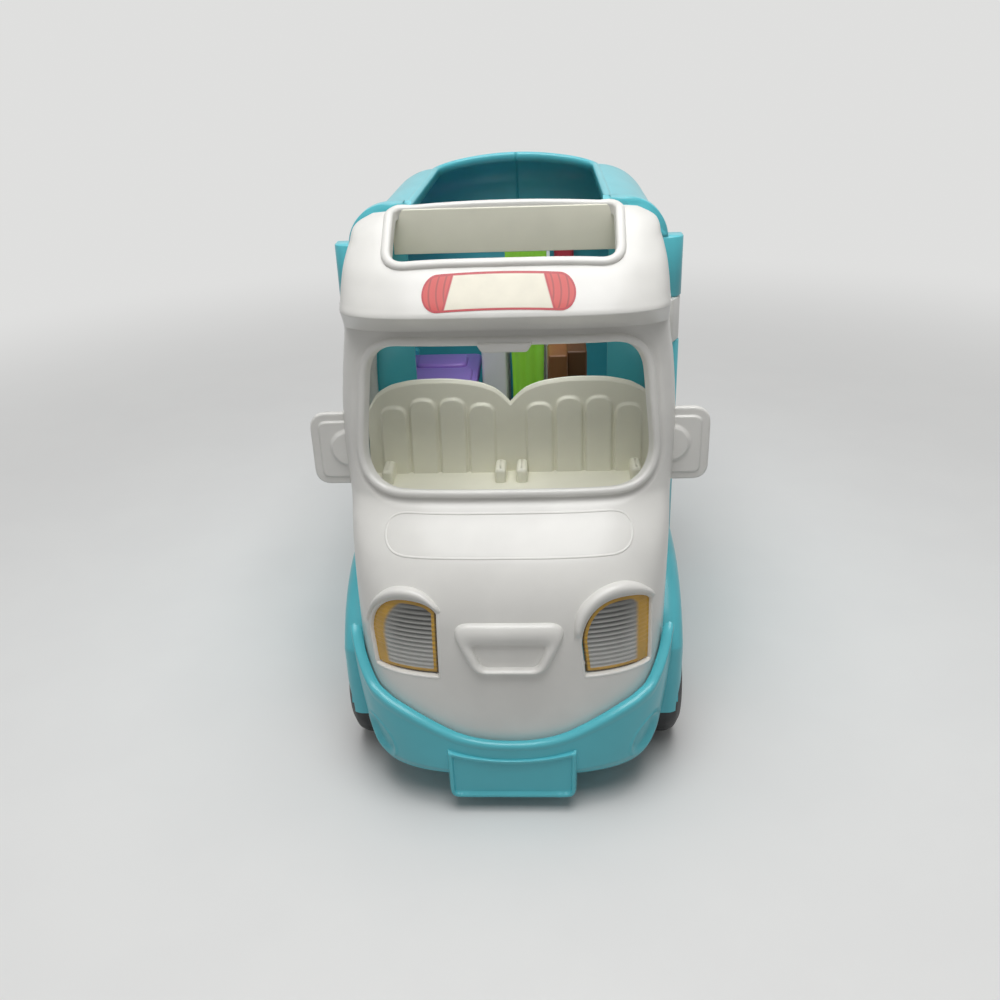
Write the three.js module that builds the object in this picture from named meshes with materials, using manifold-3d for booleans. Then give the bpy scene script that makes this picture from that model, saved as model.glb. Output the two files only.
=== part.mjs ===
import * as THREE from "three";
import { mergeVertices } from "three/addons/utils/BufferGeometryUtils.js";
import Module from "manifold-3d";

// A toy camper van in millimetres. +Z is up, the van faces -Y, and left is +X as its driver sees it.
// Inside the van, y is the distance behind the front plate and z the height above the ground.

// Overall sizes
const LENGTH = 280;
const BODY_HALF_WIDTH = 71.3;
const ROOF_CROWN = 220;
const WALL = 2.6;
const GAP = 0.3;

// Wheels and axles
const WHEEL_RADIUS = 28;
const WHEEL_WIDTH = 18;
const WHEEL_OUTER_X = BODY_HALF_WIDTH - 1.3;
const WHEEL_FACETS = 24;
const AXLE_RADIUS = 2.5;
const FRONT_AXLE_Y = 60;
const REAR_AXLE_Y = LENGTH - 54;
const WELL_CLEARANCE = 2;
const HUBCAP_RADIUS = 16;

// Cab: its form at a list of heights, as the nose's place, the depth of the rounded corner and how far its
// side is tucked in from the body's side
const CAB_REAR = 104.6;
const CAB_TOP = 183.5;
const CAB_CORNER_POWER = 3.2;
const CAB_FORM = [
  { z: 13, nose: 6.2, bend: 40, tuck: 16.8 },
  { z: 33, nose: 5, bend: 40, tuck: 14 },
  { z: 60, nose: 6.2, bend: 40, tuck: 11.1 },
  { z: 84, nose: 9.6, bend: 39.5, tuck: 10.2 },
  { z: 92, nose: 13, bend: 38, tuck: 9.7 },
  { z: 98, nose: 17, bend: 35.5, tuck: 9.3 },
  { z: 104, nose: 22.3, bend: 32, tuck: 8.9 },
  { z: 110, nose: 29.4, bend: 28.5, tuck: 8.4 },
  { z: 118, nose: 39.2, bend: 24, tuck: 7.6 },
  { z: 122, nose: 41.2, bend: 23, tuck: 7.2 },
  { z: 150, nose: 45.7, bend: 22, tuck: 6.5 },
  { z: 170, nose: 49, bend: 21, tuck: 8.3 },
  { z: 184, nose: 51.3, bend: 21, tuck: 10 },
];
const FRONT_STEPS = 20;
const CURVE_STEPS = 4;
const REAR_OPENING_HALF = BODY_HALF_WIDTH - 18.8;
const REAR_FLANGE = 3;

// Windscreen opening and the bead round it
const SCREEN_LOW = 123;
const SCREEN_HIGH = 176.8;
const SCREEN_HALF_LOW = BODY_HALF_WIDTH - 16.7;
const SCREEN_HALF_HIGH = BODY_HALF_WIDTH - 21.9;
const SCREEN_RADIUS_LOW = 17;
const SCREEN_RADIUS_HIGH = 12;
const BEAD_WIDTH = 3.8;
const BEAD_HEIGHT = 1.8;
const TAB_HALF = 11;
const TAB_DROP = 3.2;

// Side windows of the cab
const DOOR_WINDOW_FRONT = 72;
const DOOR_WINDOW_REAR = 97;
const DOOR_WINDOW_LOW = 126;
const DOOR_WINDOW_HIGH = 170;
const DOOR_WINDOW_RADIUS = 7;

// Headlights: both have the same outline, offset from the middle
const LAMP_X = BODY_HALF_WIDTH - 30.9;
const LAMP_DEPTH = 1.8;
const LENS_THICKNESS = 1.2;
const BROW_HEIGHT = 2.6;

// Grille handle on the nose
const GRILLE_LOW = 62.3;
const GRILLE_HIGH = 82.7;
const GRILLE_HALF_LOW = 13.5;
const GRILLE_HALF_HIGH = 20.8;
const GRILLE_BAND = 7.6;
const GRILLE_LIP = 3;
const GRILLE_HEIGHT = 2.4;

// Bumper and front plate
const BUMPER_LOW = 17.4;
const BUMPER_REAR = 28;
const BUMPER_THICKNESS = 3.2;
const BUMPER_SMILE = [
  [0, 33.9], [7, 34.3], [15, 35.8], [22, 38.2], [29, 41.9], [36, 45.6], [42, 48.6],
  [50, 52.3], [54.6, 55.8], [57.2, 61.5], [59.2, 67.5], [60.3, 72], [64, 78],
];
const PLATE_HALF_TOP = 25.2;
const PLATE_HALF_LOW = 24.9;
const PLATE_LOW = 7.4;
const PLATE_TOP = 30.5;
const PLATE_DIP = 4.2;
const PLATE_RIM = 1.7;
const PLATE_RIM_HEIGHT = 0.8;
const FOG_X = BODY_HALF_WIDTH - 18;
const FOG_Y = 15;
const FOG_Z = 27.7;
const FOG_HALF_WIDTH = 6.2;
const FOG_HALF_HEIGHT = 8.5;
const FOG_DEPTH = 2.8;
const FOG_TURN = 0.86;

// Chassis
const PAN_LOW = 13.5;
const PAN_TOP = 17;
const FENDER_OUTER_X = BODY_HALF_WIDTH - 2.9;
const FENDER_EDGE = 5;
const FENDER_TOP = 86;
const FENDER_LOW = 26;

// Over-cab cap: its form at a list of heights, in the cab's terms
const CAP_CORNER_POWER = 3.8;
const CAP_FORM = [
  { z: 183.8, nose: 50.6, bend: 21, tuck: 10.3 },
  { z: 192, nose: 40, bend: 27, tuck: 9 },
  { z: 194.5, nose: 41.8, bend: 27, tuck: 9 },
  { z: 199, nose: 46.6, bend: 26, tuck: 9.2 },
  { z: 204, nose: 52.4, bend: 25, tuck: 9.9 },
  { z: 210, nose: 61.6, bend: 23, tuck: 11.5 },
  { z: 216, nose: 72, bend: 18, tuck: 14.5 },
  { z: 219.5, nose: 78.6, bend: 13, tuck: 21.8 },
  { z: 222.6, nose: 84.5, bend: 8, tuck: 27.8 },
];
const SUNROOF_HALF = 39.8;
const SUNROOF_FRONT = 54.6;
const SUNROOF_REAR = 86.4;
const SUNROOF_RADIUS = 5;
const SUNROOF_RIM = 3.2;
const SUNROOF_RIM_HEIGHT = 1.4;
const CAP_WALL_LOW = 202;
const CAP_NOTCH_HALF = 38.5;

// Side mirrors
const MIRROR_Y = 60;
const MIRROR_THICKNESS = 4.4;
const MIRROR_OUTER_X = BODY_HALF_WIDTH + 7.3;
const MIRROR_INNER_X = BODY_HALF_WIDTH - 11.3;
const MIRROR_LOW = 117.5;
const MIRROR_HIGH = 148;
const MIRROR_RADIUS = 5.5;
const MIRROR_BORDER = 2.6;
const MIRROR_STEP = 0.9;
const MIRROR_BOSS_RADIUS = 6.5;

// Seat bench
const SEAT_BACK_Y = 83.6;
const SEAT_BACK_THICKNESS = 3;
const SEAT_TOP = 152.6;
const SEAT_NOTCH = 142.4;
const SEAT_HALF = BODY_HALF_WIDTH - 12.5;
const SEAT_LEVEL = 111.5;
const SEAT_FRONT = 56;
const SEAT_PLATE = 3;
const RIB_WIDTH = 10;
const RIB_PITCH = 12.3;
const RIB_HEIGHT = 1.7;
const RIB_TOPS = [141.6, 144.8, 144.8, 142.4];
const RIB_FIRST_X = 12;
const SEAT_LEG_X = 40;
const ARMREST_XS = [4.4, 51.5];
const ARMREST_WIDTH = 4.6;
const ARMREST_TOP = 117.4;

// Camper body halves
const BODY_GAP = 0.7;
const BODY_LOW = 14;
const BODY_REAR_STEP = 3.5;
const SHOULDER_RADIUS = 28;
const SHOULDER_TOP = 214;
const REAR_CORNER_RADIUS = 20;
const REAR_TOP_RADIUS = 22;
const FLANGE_INNER_X = 41;
const FLANGE_THICKNESS = 3;
const ROOF_FALL = 5;
const ROOF_OPENING_HALF = 38.5;
const ROOF_OPENING_REAR = LENGTH - 28;
const ROOF_OPENING_RADIUS = 15;
const ROOF_RIM = 3;
const ROOF_RIM_HEIGHT = 1.8;
const HOOP_DEPTH = 6.5;
const HOOP_HALF = BODY_HALF_WIDTH - 4.9;
const HOOP_TOP = 222.6;
const HOOP_RADIUS = 24;
const SIDE_WINDOW_FRONT = 134;
const SIDE_WINDOW_REAR = 190;
const SIDE_WINDOW_LOW = 108;
const SIDE_WINDOW_HIGH = 164;
const SIDE_WINDOW_RADIUS = 12;
const SIDE_WINDOW_FRAME = 3.4;
const SIDE_WINDOW_FRAME_HEIGHT = 1;
const REAR_BUMPER_HIGH = 32;

// Hinges between the cab and the halves
const HINGE_REACH = 5;
const PIN_RADIUS = 1.6;
const PIN_OVERHANG = 11;
const UPPER_LUG = { low: 160.5, high: 178.8 };
const LOWER_LUG = { low: 30, high: 46 };
const LUG_RADIUS = 4.6;
const BLOCK_TOP = 204.5;

// Floors and inside fittings
const FLOOR_LOW = 18;
const FLOOR_TOP = 21;
const TONGUE_REACH = 6;
const TONGUE_INSET = 20;
const AXLE_BOSS_RADIUS = 5;
const AXLE_BOSS_LENGTH = 7;
const BUNK = { front: 133.9, rear: LENGTH - 32, freeEdge: 22, low: 106, top: 112 };
const BUNK_PIVOT_RADIUS = 2;
const BUNK_PIVOT_LENGTH = 5;
const BUNK_PIVOT_FROM_WALL = 5;
const BRACKET_WIDTH = 6;
const BRACKET_LEDGE = 12;
const WARDROBE = { inner: 6.2, outer: 19.5, front: LENGTH - 75, rear: LENGTH - 35, high: 150 };
const WASHROOM = { inner: 1, outer: 17.5, front: LENGTH - 70.5, rear: LENGTH - 22, high: 168 };
const CURTAIN = { inner: -4.6, outer: 15, front: LENGTH - 76, low: 30, high: 182, thickness: 3, waves: 3 };
const KITCHEN = { inner: 16, split: 25, outer: 34.5, front: LENGTH - 128, rear: LENGTH - 91, high: 140, step: 6 };
const COUNTER = { front: 122, high: 84 };
const HOB = { margin: 5, height: 2.4 };
const CUPBOARD = { inner: 20, outer: 31, depth: 16, low: 148, high: 176 };

// Values that follow from the sizes above
const WHEEL_Z = WHEEL_RADIUS * Math.cos(Math.PI / WHEEL_FACETS);
const WHEEL_INNER_X = WHEEL_OUTER_X - WHEEL_WIDTH;
const WELL_RADIUS = WHEEL_RADIUS + WELL_CLEARANCE;
const WELL_INNER_X = WHEEL_INNER_X - GAP - WALL;
const CAB_BASE = PAN_TOP + GAP;
const CAP_BASE = CAP_FORM[0].z;
const CAP_TOP = CAP_FORM[CAP_FORM.length - 1].z;
const BODY_FRONT = CAB_REAR + BODY_GAP;
const BODY_WALL_REAR = LENGTH - BODY_REAR_STEP;
const BODY_INNER_X = BODY_HALF_WIDTH - WALL;
const HINGE_X = BODY_HALF_WIDTH - HINGE_REACH;
const HINGE_Y = BODY_FRONT + HINGE_REACH;
const SEAM = GAP / 2;
const FLOOR_SEAT = FLOOR_TOP + GAP;
const BUNK_PIVOT_X = BODY_INNER_X - BUNK_PIVOT_FROM_WALL;
const BUNK_PIVOT_Z = (BUNK.low + BUNK.top) / 2;
const FAR = 400;

const wasm = await Module();
wasm.setup();

// Solids: three.js geometry turned into closed bodies that can be joined and cut

function solidOf(geometry) {
  const bare = new THREE.BufferGeometry();
  bare.setAttribute("position", geometry.getAttribute("position"));
  bare.setIndex(geometry.getIndex());
  const merged = mergeVertices(bare, 1e-4);
  const corners = merged.getIndex().array;
  const triangles = [];
  for (let i = 0; i < corners.length; i += 3) {
    const [a, b, c] = corners.slice(i, i + 3);
    if (a !== b && b !== c && c !== a) triangles.push(a, b, c);
  }
  const vertProperties = Float32Array.from(merged.getAttribute("position").array);
  const build = (list) =>
    new wasm.Manifold(new wasm.Mesh({ numProp: 3, vertProperties, triVerts: Uint32Array.from(list) }));
  const made = build(triangles);
  return made.volume() < 0 ? build(triangles.reverse()) : made;
}

function geometryOf(solid) {
  const mesh = solid.getMesh();
  const geometry = new THREE.BufferGeometry();
  geometry.setAttribute("position", new THREE.BufferAttribute(Float32Array.from(mesh.vertProperties), 3));
  geometry.setIndex(new THREE.BufferAttribute(Uint32Array.from(mesh.triVerts), 1));
  geometry.computeVertexNormals();
  return geometry;
}

const join = (first, ...rest) => rest.reduce((sum, next) => sum.add(next), first);
const cut = (first, ...rest) => rest.reduce((left, next) => left.subtract(next), first);
const overlap = (first, ...rest) => rest.reduce((both, next) => both.intersect(next), first);
const onSide = (solid, side) => (side > 0 ? solid : solidOf(geometryOf(solid).scale(-1, 1, 1)));

// A prism of a flat shape between two places on an axis, with its end edges rounded by edge
function prism(shape, from, to, edge, basis) {
  const settings = { depth: to - from - 2 * edge, curveSegments: CURVE_STEPS, bevelEnabled: edge > 0 };
  Object.assign(settings, { bevelThickness: edge, bevelSize: edge, bevelOffset: -edge, bevelSegments: 2 });
  const geometry = new THREE.ExtrudeGeometry(shape, settings);
  geometry.translate(0, 0, from + edge);
  return solidOf(geometry.applyMatrix4(new THREE.Matrix4().makeBasis(...basis)));
}

const [X, Y, Z] = [new THREE.Vector3(1, 0, 0), new THREE.Vector3(0, 1, 0), new THREE.Vector3(0, 0, 1)];
const MINUS_Y = new THREE.Vector3(0, -1, 0);
const prismX = (shapeYZ, from, to, edge = 0) => prism(shapeYZ, from, to, edge, [Y, Z, X]);
const prismY = (shapeXZ, from, to, edge = 0) => prism(shapeXZ, -to, -from, edge, [X, Z, MINUS_Y]);
const prismZ = (shapeXY, from, to, edge = 0) => prism(shapeXY, from, to, edge, [X, Y, Z]);

function box(x0, y0, z0, x1, y1, z1) {
  const geometry = new THREE.BoxGeometry(x1 - x0, y1 - y0, z1 - z0);
  return solidOf(geometry.translate((x0 + x1) / 2, (y0 + y1) / 2, (z0 + z1) / 2));
}

function cylinderX(y, z, radius, from, to, sides = 24) {
  const geometry = new THREE.CylinderGeometry(radius, radius, to - from, sides);
  return solidOf(geometry.rotateZ(-Math.PI / 2).translate((from + to) / 2, y, z));
}

function cylinderY(x, z, radius, from, to, sides = 16) {
  const geometry = new THREE.CylinderGeometry(radius, radius, to - from, sides);
  return solidOf(geometry.translate(x, (from + to) / 2, z));
}

function cylinderZ(x, y, radius, from, to, sides = 16) {
  const geometry = new THREE.CylinderGeometry(radius, radius, to - from, sides);
  return solidOf(geometry.rotateX(Math.PI / 2).translate(x, y, (from + to) / 2));
}

// A body of revolution about the X axis, from a profile of [radius, x] points
function revolveX(profile, sides) {
  const points = profile.map(([radius, x]) => new THREE.Vector2(radius, x));
  const geometry = new THREE.LatheGeometry(points, sides, Math.PI / sides);
  return solidOf(geometry.rotateZ(-Math.PI / 2));
}

// A closed outline through corners given as [x, y, radius], each corner rounded by its radius
function roundedOutline(corners) {
  const shape = new THREE.Shape();
  const count = corners.length;
  corners.forEach(([x, y, radius], i) => {
    const here = new THREE.Vector2(x, y);
    const before = new THREE.Vector2(...corners[(i + count - 1) % count]);
    const after = new THREE.Vector2(...corners[(i + 1) % count]);
    const start = here.clone().add(before.sub(here).setLength(radius));
    const end = here.clone().add(after.sub(here).setLength(radius));
    if (i === 0) shape.moveTo(start.x, start.y);
    else shape.lineTo(start.x, start.y);
    shape.quadraticCurveTo(here.x, here.y, end.x, end.y);
  });
  return shape;
}

const roundedRect = (x0, y0, x1, y1, radius) =>
  roundedOutline([[x0, y0, radius], [x1, y0, radius], [x1, y1, radius], [x0, y1, radius]]);

// A body through level rings with the same number of points, closed by a fan at each end
function loft(rings) {
  const count = rings[0].length;
  const position = [];
  rings.forEach((ring) => ring.forEach((p) => position.push(p.x, p.y, p.z)));
  const index = [];
  for (let level = 0; level + 1 < rings.length; level++) {
    for (let i = 0; i < count; i++) {
      const [a, b] = [level * count + i, level * count + ((i + 1) % count)];
      index.push(a, b, b + count, a, b + count, a + count);
    }
  }
  const closeEnd = (ring, first, turned) => {
    const middle = ring.reduce((sum, p) => sum.add(p), new THREE.Vector3()).divideScalar(count);
    const hub = position.length / 3;
    position.push(middle.x, middle.y, middle.z);
    for (let i = 0; i < count; i++) {
      const [a, b] = [first + i, first + ((i + 1) % count)];
      index.push(hub, turned ? b : a, turned ? a : b);
    }
  };
  closeEnd(rings[0], 0, true);
  closeEnd(rings[rings.length - 1], (rings.length - 1) * count, false);
  const geometry = new THREE.BufferGeometry();
  geometry.setAttribute("position", new THREE.Float32BufferAttribute(position, 3));
  geometry.setIndex(index);
  return solidOf(geometry);
}

// Cab and cap forms

function sectionAt(form, z) {
  const above = form.findIndex((section) => section.z >= z);
  const high = form.at(above);
  const low = above > 0 ? form[above - 1] : high;
  const share = low === high ? 0 : (z - low.z) / (high.z - low.z);
  const mix = (key) => low[key] + (high[key] - low[key]) * share;
  return { nose: mix("nose"), bend: mix("bend"), half: BODY_HALF_WIDTH - mix("tuck") };
}

// A level ring: straight sides and rear, and a front that is half of a superellipse
function formRing(form, power, z, grow, rear) {
  const { nose, bend, half } = sectionAt(form, z);
  const [reach, width] = [bend + grow, half + grow];
  const ring = [new THREE.Vector3(-width, rear, z)];
  for (let i = 0; i <= FRONT_STEPS; i++) {
    const turn = Math.PI * (i / FRONT_STEPS);
    const side = -Math.sign(Math.cos(turn)) * Math.abs(Math.cos(turn)) ** (2 / power);
    const ahead = Math.sin(turn) ** (2 / power);
    ring.push(new THREE.Vector3(width * side, nose + bend - reach * ahead, z));
  }
  ring.push(new THREE.Vector3(width, rear, z));
  return ring;
}

const cabHalfAt = (z) => sectionAt(CAB_FORM, z).half;

function formSolid(form, power, grow, low, high, rear, stride) {
  const heights = form.filter((section, i) => i % stride === 0).map((section) => section.z);
  const levels = heights.filter((z) => z > low + 0.5 && z < high - 0.5);
  return loft([low, ...levels, high].map((z) => formRing(form, power, z, grow, rear)));
}

const cabForm = (grow, low = CAB_BASE, high = CAB_TOP, rear = CAB_REAR, stride = 1) =>
  formSolid(CAB_FORM, CAB_CORNER_POWER, grow, low, high, rear, stride);
const capForm = (grow, low = CAP_BASE, high = CAP_TOP, rear = CAB_REAR, stride = 1) =>
  formSolid(CAP_FORM, CAP_CORNER_POWER, grow, low, high, rear, stride);

// A raised or sunken patch of the cab's front: the part of a skin that lies behind a flat outline
const cabSkin = (outline, from, to) =>
  cut(overlap(cabForm(to), prismY(outline, 0, FRONT_AXLE_Y)), cabForm(from, 0, FAR));

// Outlines on the cab's front, seen along y

function screenOutline(grow) {
  const [low, high] = [SCREEN_LOW - grow, SCREEN_HIGH + grow];
  const [halfLow, halfHigh] = [SCREEN_HALF_LOW + grow, SCREEN_HALF_HIGH + grow];
  return roundedOutline([
    [-halfLow, low, SCREEN_RADIUS_LOW + grow],
    [halfLow, low, SCREEN_RADIUS_LOW + grow],
    [halfHigh, high, SCREEN_RADIUS_HIGH + grow],
    [-halfHigh, high, SCREEN_RADIUS_HIGH + grow],
  ]);
}

// The lamp is squarer at its upper right, seen from the front, on both sides of the van
const LAMP_LEFT = -13.4;
const LAMP_RIGHT = 13.5;
const LAMP_LOW = 60.6;
const LAMP_TOP = 90.2;
const LAMP_SPRING = 74;
const LAMP_RIGHT_TOP = 86.2;
const BROW_WIDTH = 4.2;

function lampOutline(x, shrink) {
  const [left, right] = [x + LAMP_LEFT + shrink, x + LAMP_RIGHT - shrink];
  const [low, top] = [LAMP_LOW + shrink, LAMP_TOP - shrink];
  const shape = new THREE.Shape();
  shape.moveTo(left + 1.5, low);
  shape.lineTo(right, low);
  shape.lineTo(right, LAMP_RIGHT_TOP - shrink);
  shape.quadraticCurveTo(right - 3, top, x + 2, top);
  shape.bezierCurveTo(x - 7, top, left, top - 6, left, LAMP_SPRING);
  return shape;
}

function browOutline(x) {
  const [left, right] = [x + LAMP_LEFT - BROW_WIDTH / 2, x + LAMP_RIGHT];
  const shape = new THREE.Shape();
  shape.moveTo(left, LAMP_SPRING + 3);
  shape.lineTo(right, LAMP_SPRING + 3);
  shape.lineTo(right, LAMP_RIGHT_TOP + BROW_WIDTH / 2);
  shape.quadraticCurveTo(right - 4, LAMP_TOP + BROW_WIDTH, x + 2, LAMP_TOP + BROW_WIDTH);
  shape.bezierCurveTo(x - 9, LAMP_TOP + BROW_WIDTH, left, LAMP_TOP - 1, left, LAMP_SPRING + 3);
  return shape;
}

const grilleOutline = (inset, lip) =>
  roundedOutline([
    [-GRILLE_HALF_LOW + inset / 2, GRILLE_LOW + lip, 4 - inset / 3],
    [GRILLE_HALF_LOW - inset / 2, GRILLE_LOW + lip, 4 - inset / 3],
    [GRILLE_HALF_HIGH - inset, GRILLE_HIGH - inset, 5 - inset / 3],
    [-GRILLE_HALF_HIGH + inset, GRILLE_HIGH - inset, 5 - inset / 3],
  ]);

// Cab pieces

function wellSpace(grow, side) {
  const from = WELL_INNER_X - grow;
  const reach = WELL_RADIUS + grow;
  return cylinderX(FRONT_AXLE_Y, WHEEL_Z, reach, side > 0 ? from : -FAR, side > 0 ? FAR : -from, WHEEL_FACETS);
}

// The plan of a hinge lug: an arm from the cab's rear corner that ends round the pin
function lugPlan() {
  const shape = new THREE.Shape();
  shape.moveTo(REAR_OPENING_HALF + 1, CAB_REAR);
  shape.lineTo(REAR_OPENING_HALF + 1, CAB_REAR - REAR_FLANGE);
  shape.lineTo(HINGE_X + 1, CAB_REAR - REAR_FLANGE);
  shape.lineTo(HINGE_X + LUG_RADIUS, HINGE_Y - 1);
  shape.absarc(HINGE_X, HINGE_Y, LUG_RADIUS, 0, Math.PI);
  shape.lineTo(HINGE_X - LUG_RADIUS, CAB_REAR);
  return shape;
}

function lug(height, side) {
  const arm = prismZ(lugPlan(), height.low, height.high);
  const bore = cylinderZ(HINGE_X, HINGE_Y, PIN_RADIUS + GAP, 0, FAR);
  return onSide(cut(arm, bore), side);
}

function cabShell() {
  const shell = cut(cabForm(0), cabForm(-WALL, 0, FAR, FAR, 2));
  const flange = cut(
    cabForm(-WALL / 2),
    box(-FAR, 0, 0, FAR, CAB_REAR - REAR_FLANGE, FAR),
    box(-REAR_OPENING_HALF, 0, 0, REAR_OPENING_HALF, FAR, FAR),
  );
  const bead = cabSkin(screenOutline(BEAD_WIDTH), -WALL / 2, BEAD_HEIGHT);
  const tab = roundedOutline([
    [-TAB_HALF + TAB_DROP, SCREEN_HIGH - TAB_DROP, 1],
    [TAB_HALF - TAB_DROP, SCREEN_HIGH - TAB_DROP, 1],
    [TAB_HALF, SCREEN_HIGH + 1, 0.5],
    [-TAB_HALF, SCREEN_HIGH + 1, 0.5],
  ]);
  const grille = cabSkin(grilleOutline(0, 0), -WALL / 2, GRILLE_HEIGHT);
  const grilleDish = cabSkin(grilleOutline(GRILLE_BAND, GRILLE_LIP), -WALL / 4, GRILLE_HEIGHT + 1);
  const doorWindow = roundedRect(
    DOOR_WINDOW_FRONT, DOOR_WINDOW_LOW, DOOR_WINDOW_REAR, DOOR_WINDOW_HIGH, DOOR_WINDOW_RADIUS);
  let cab = join(shell, flange, bead, cut(grille, grilleDish));
  cab = cut(cab, prismY(screenOutline(0), 0, FRONT_AXLE_Y), prismX(doorWindow, -FAR, FAR));
  cab = join(cab, cabSkin(tab, -WALL, 0));
  for (const x of [-LAMP_X, LAMP_X]) {
    cab = join(cab, cabSkin(browOutline(x), -WALL / 2, BROW_HEIGHT));
    cab = cut(cab, cabSkin(lampOutline(x, 0), -LAMP_DEPTH, BROW_HEIGHT + 1));
  }
  for (const side of [-1, 1]) {
    cab = join(cut(cab, wellSpace(WALL + GAP, side)), lug(UPPER_LUG, side));
  }
  return cab;
}

const headlightLens = (x) => cabSkin(lampOutline(x, GAP), -LAMP_DEPTH + GAP, -LAMP_DEPTH + GAP + LENS_THICKNESS);

function mirror() {
  const outline = roundedRect(MIRROR_INNER_X, MIRROR_LOW, MIRROR_OUTER_X, MIRROR_HIGH, MIRROR_RADIUS);
  const inset = roundedRect(
    MIRROR_INNER_X + MIRROR_BORDER, MIRROR_LOW + MIRROR_BORDER,
    MIRROR_OUTER_X - MIRROR_BORDER, MIRROR_HIGH - MIRROR_BORDER, MIRROR_RADIUS - MIRROR_BORDER / 2);
  const back = MIRROR_Y + MIRROR_THICKNESS;
  const middle = (MIRROR_LOW + MIRROR_HIGH) / 2;
  const plate = cut(
    prismY(outline, MIRROR_Y, back),
    prismY(inset, 0, MIRROR_Y + MIRROR_STEP),
  );
  const boss = cylinderY(cabHalfAt(middle) + 1, middle, MIRROR_BOSS_RADIUS, MIRROR_Y - 0.5, back, 20);
  return cut(join(plate, boss), cabForm(GAP, 0, FAR, FAR));
}

function smileOutline() {
  const shape = new THREE.Shape();
  const end = BUMPER_SMILE.at(-1)[1];
  shape.moveTo(-FAR, FAR);
  shape.lineTo(-FAR, end);
  BUMPER_SMILE.toReversed().forEach(([x, z]) => shape.lineTo(-x, z));
  BUMPER_SMILE.slice(1).forEach(([x, z]) => shape.lineTo(x, z));
  shape.lineTo(FAR, end);
  shape.lineTo(FAR, FAR);
  return shape;
}

function plateOutline(inset) {
  const shape = new THREE.Shape();
  const [halfLow, halfTop] = [PLATE_HALF_LOW - inset, PLATE_HALF_TOP - inset];
  const [low, top] = [PLATE_LOW + inset, PLATE_TOP - inset];
  shape.moveTo(-halfLow + 4, low);
  shape.lineTo(halfLow - 4, low);
  shape.quadraticCurveTo(halfLow, low, halfLow, low + 4);
  shape.lineTo(halfTop, top);
  shape.quadraticCurveTo(0, top - 2 * PLATE_DIP, -halfTop, top);
  shape.lineTo(-halfLow, low + 4);
  shape.quadraticCurveTo(-halfLow, low, -halfLow + 4, low);
  return shape;
}

function bumper() {
  const outside = cabForm(GAP + BUMPER_THICKNESS, BUMPER_LOW, FENDER_TOP, FAR);
  const behind = box(-FAR, BUMPER_REAR, 0, FAR, 2 * FAR, FAR);
  const band = cut(outside, behind, cabForm(GAP, 0, FAR, 2 * FAR), prismY(smileOutline(), -FAR, FAR));
  const plate = cut(
    prismY(plateOutline(0), 0, CAB_FORM[0].nose - GAP),
    prismY(plateOutline(PLATE_RIM), -1, PLATE_RIM_HEIGHT),
    cabForm(GAP, 0, FAR, FAR),
  );
  let whole = join(band, plate);
  for (const x of [-FOG_X, FOG_X]) {
    const dish = new THREE.SphereGeometry(1, 14, 8);
    dish.scale(FOG_HALF_WIDTH, FOG_DEPTH, FOG_HALF_HEIGHT);
    dish.rotateZ(Math.sign(x) * FOG_TURN).translate(x, FOG_Y, FOG_Z);
    whole = cut(whole, solidOf(dish));
  }
  return whole;
}

function fender(side) {
  const rear = CAB_REAR;
  const front = BUMPER_REAR + GAP;
  const shape = new THREE.Shape();
  shape.moveTo(front, FENDER_LOW);
  shape.lineTo(rear, FENDER_LOW);
  shape.lineTo(rear, FENDER_TOP);
  shape.lineTo(rear - 20, FENDER_TOP);
  shape.bezierCurveTo(rear - 46, FENDER_TOP, front + 12, FENDER_TOP - 6, front, FENDER_TOP - 28);
  const depth = FENDER_OUTER_X - WELL_INNER_X + FENDER_EDGE;
  const panel = prismX(shape, FENDER_OUTER_X - depth, FENDER_OUTER_X, FENDER_EDGE);
  const trimmed = cut(panel, cabForm(GAP, CAB_BASE - GAP, FAR, FAR), box(-FAR, 0, PAN_TOP, WELL_INNER_X, FAR, FAR));
  return onSide(trimmed, side);
}

function chassis() {
  const floorRing = (z) => formRing(CAB_FORM, CAB_CORNER_POWER, PAN_LOW, -GAP, CAB_REAR).map((p) => p.setZ(z));
  let base = loft([floorRing(PAN_LOW), floorRing(PAN_TOP)]);
  for (const side of [-1, 1]) {
    const housing = overlap(
      wellSpace(WALL, side),
      box(
        -FENDER_OUTER_X + 1.2 * FENDER_EDGE, BUMPER_REAR + GAP + 1, PAN_LOW,
        FENDER_OUTER_X - 1.2 * FENDER_EDGE, FAR, FAR),
    );
    base = join(base, fender(side), housing, cut(lug(LOWER_LUG, side), cabForm(GAP)));
    base = cut(base, wellSpace(0, side));
  }
  return cut(base, cylinderX(FRONT_AXLE_Y, WHEEL_Z, AXLE_RADIUS + GAP, -FAR, FAR, 16));
}

function roofCap() {
  const sunroof = (grow) =>
    prismZ(
      roundedRect(
        -SUNROOF_HALF - grow, SUNROOF_FRONT - grow, SUNROOF_HALF + grow, SUNROOF_REAR + grow,
        SUNROOF_RADIUS + grow),
      CAP_WALL_LOW - 8, FAR);
  const rim = cut(overlap(capForm(SUNROOF_RIM_HEIGHT), sunroof(SUNROOF_RIM)), capForm(-WALL / 2));
  const wallSlab = box(-FAR, SUNROOF_REAR, CAP_WALL_LOW, FAR, SUNROOF_REAR + WALL, FAR);
  const space = capForm(-WALL, CAP_BASE, CAP_TOP - WALL, FAR);
  const under = overlap(capForm(-WALL, 0, FAR, FAR), box(-FAR, 0, 0, FAR, FAR, CAP_BASE + 1));
  const shell = cut(capForm(0), cut(space, wallSlab), under);
  const notch = box(-CAP_NOTCH_HALF, SUNROOF_REAR + WALL, CAP_WALL_LOW - 8, CAP_NOTCH_HALF, FAR, FAR);
  return cut(join(shell, rim), sunroof(0), notch);
}

// Seat bench

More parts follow.
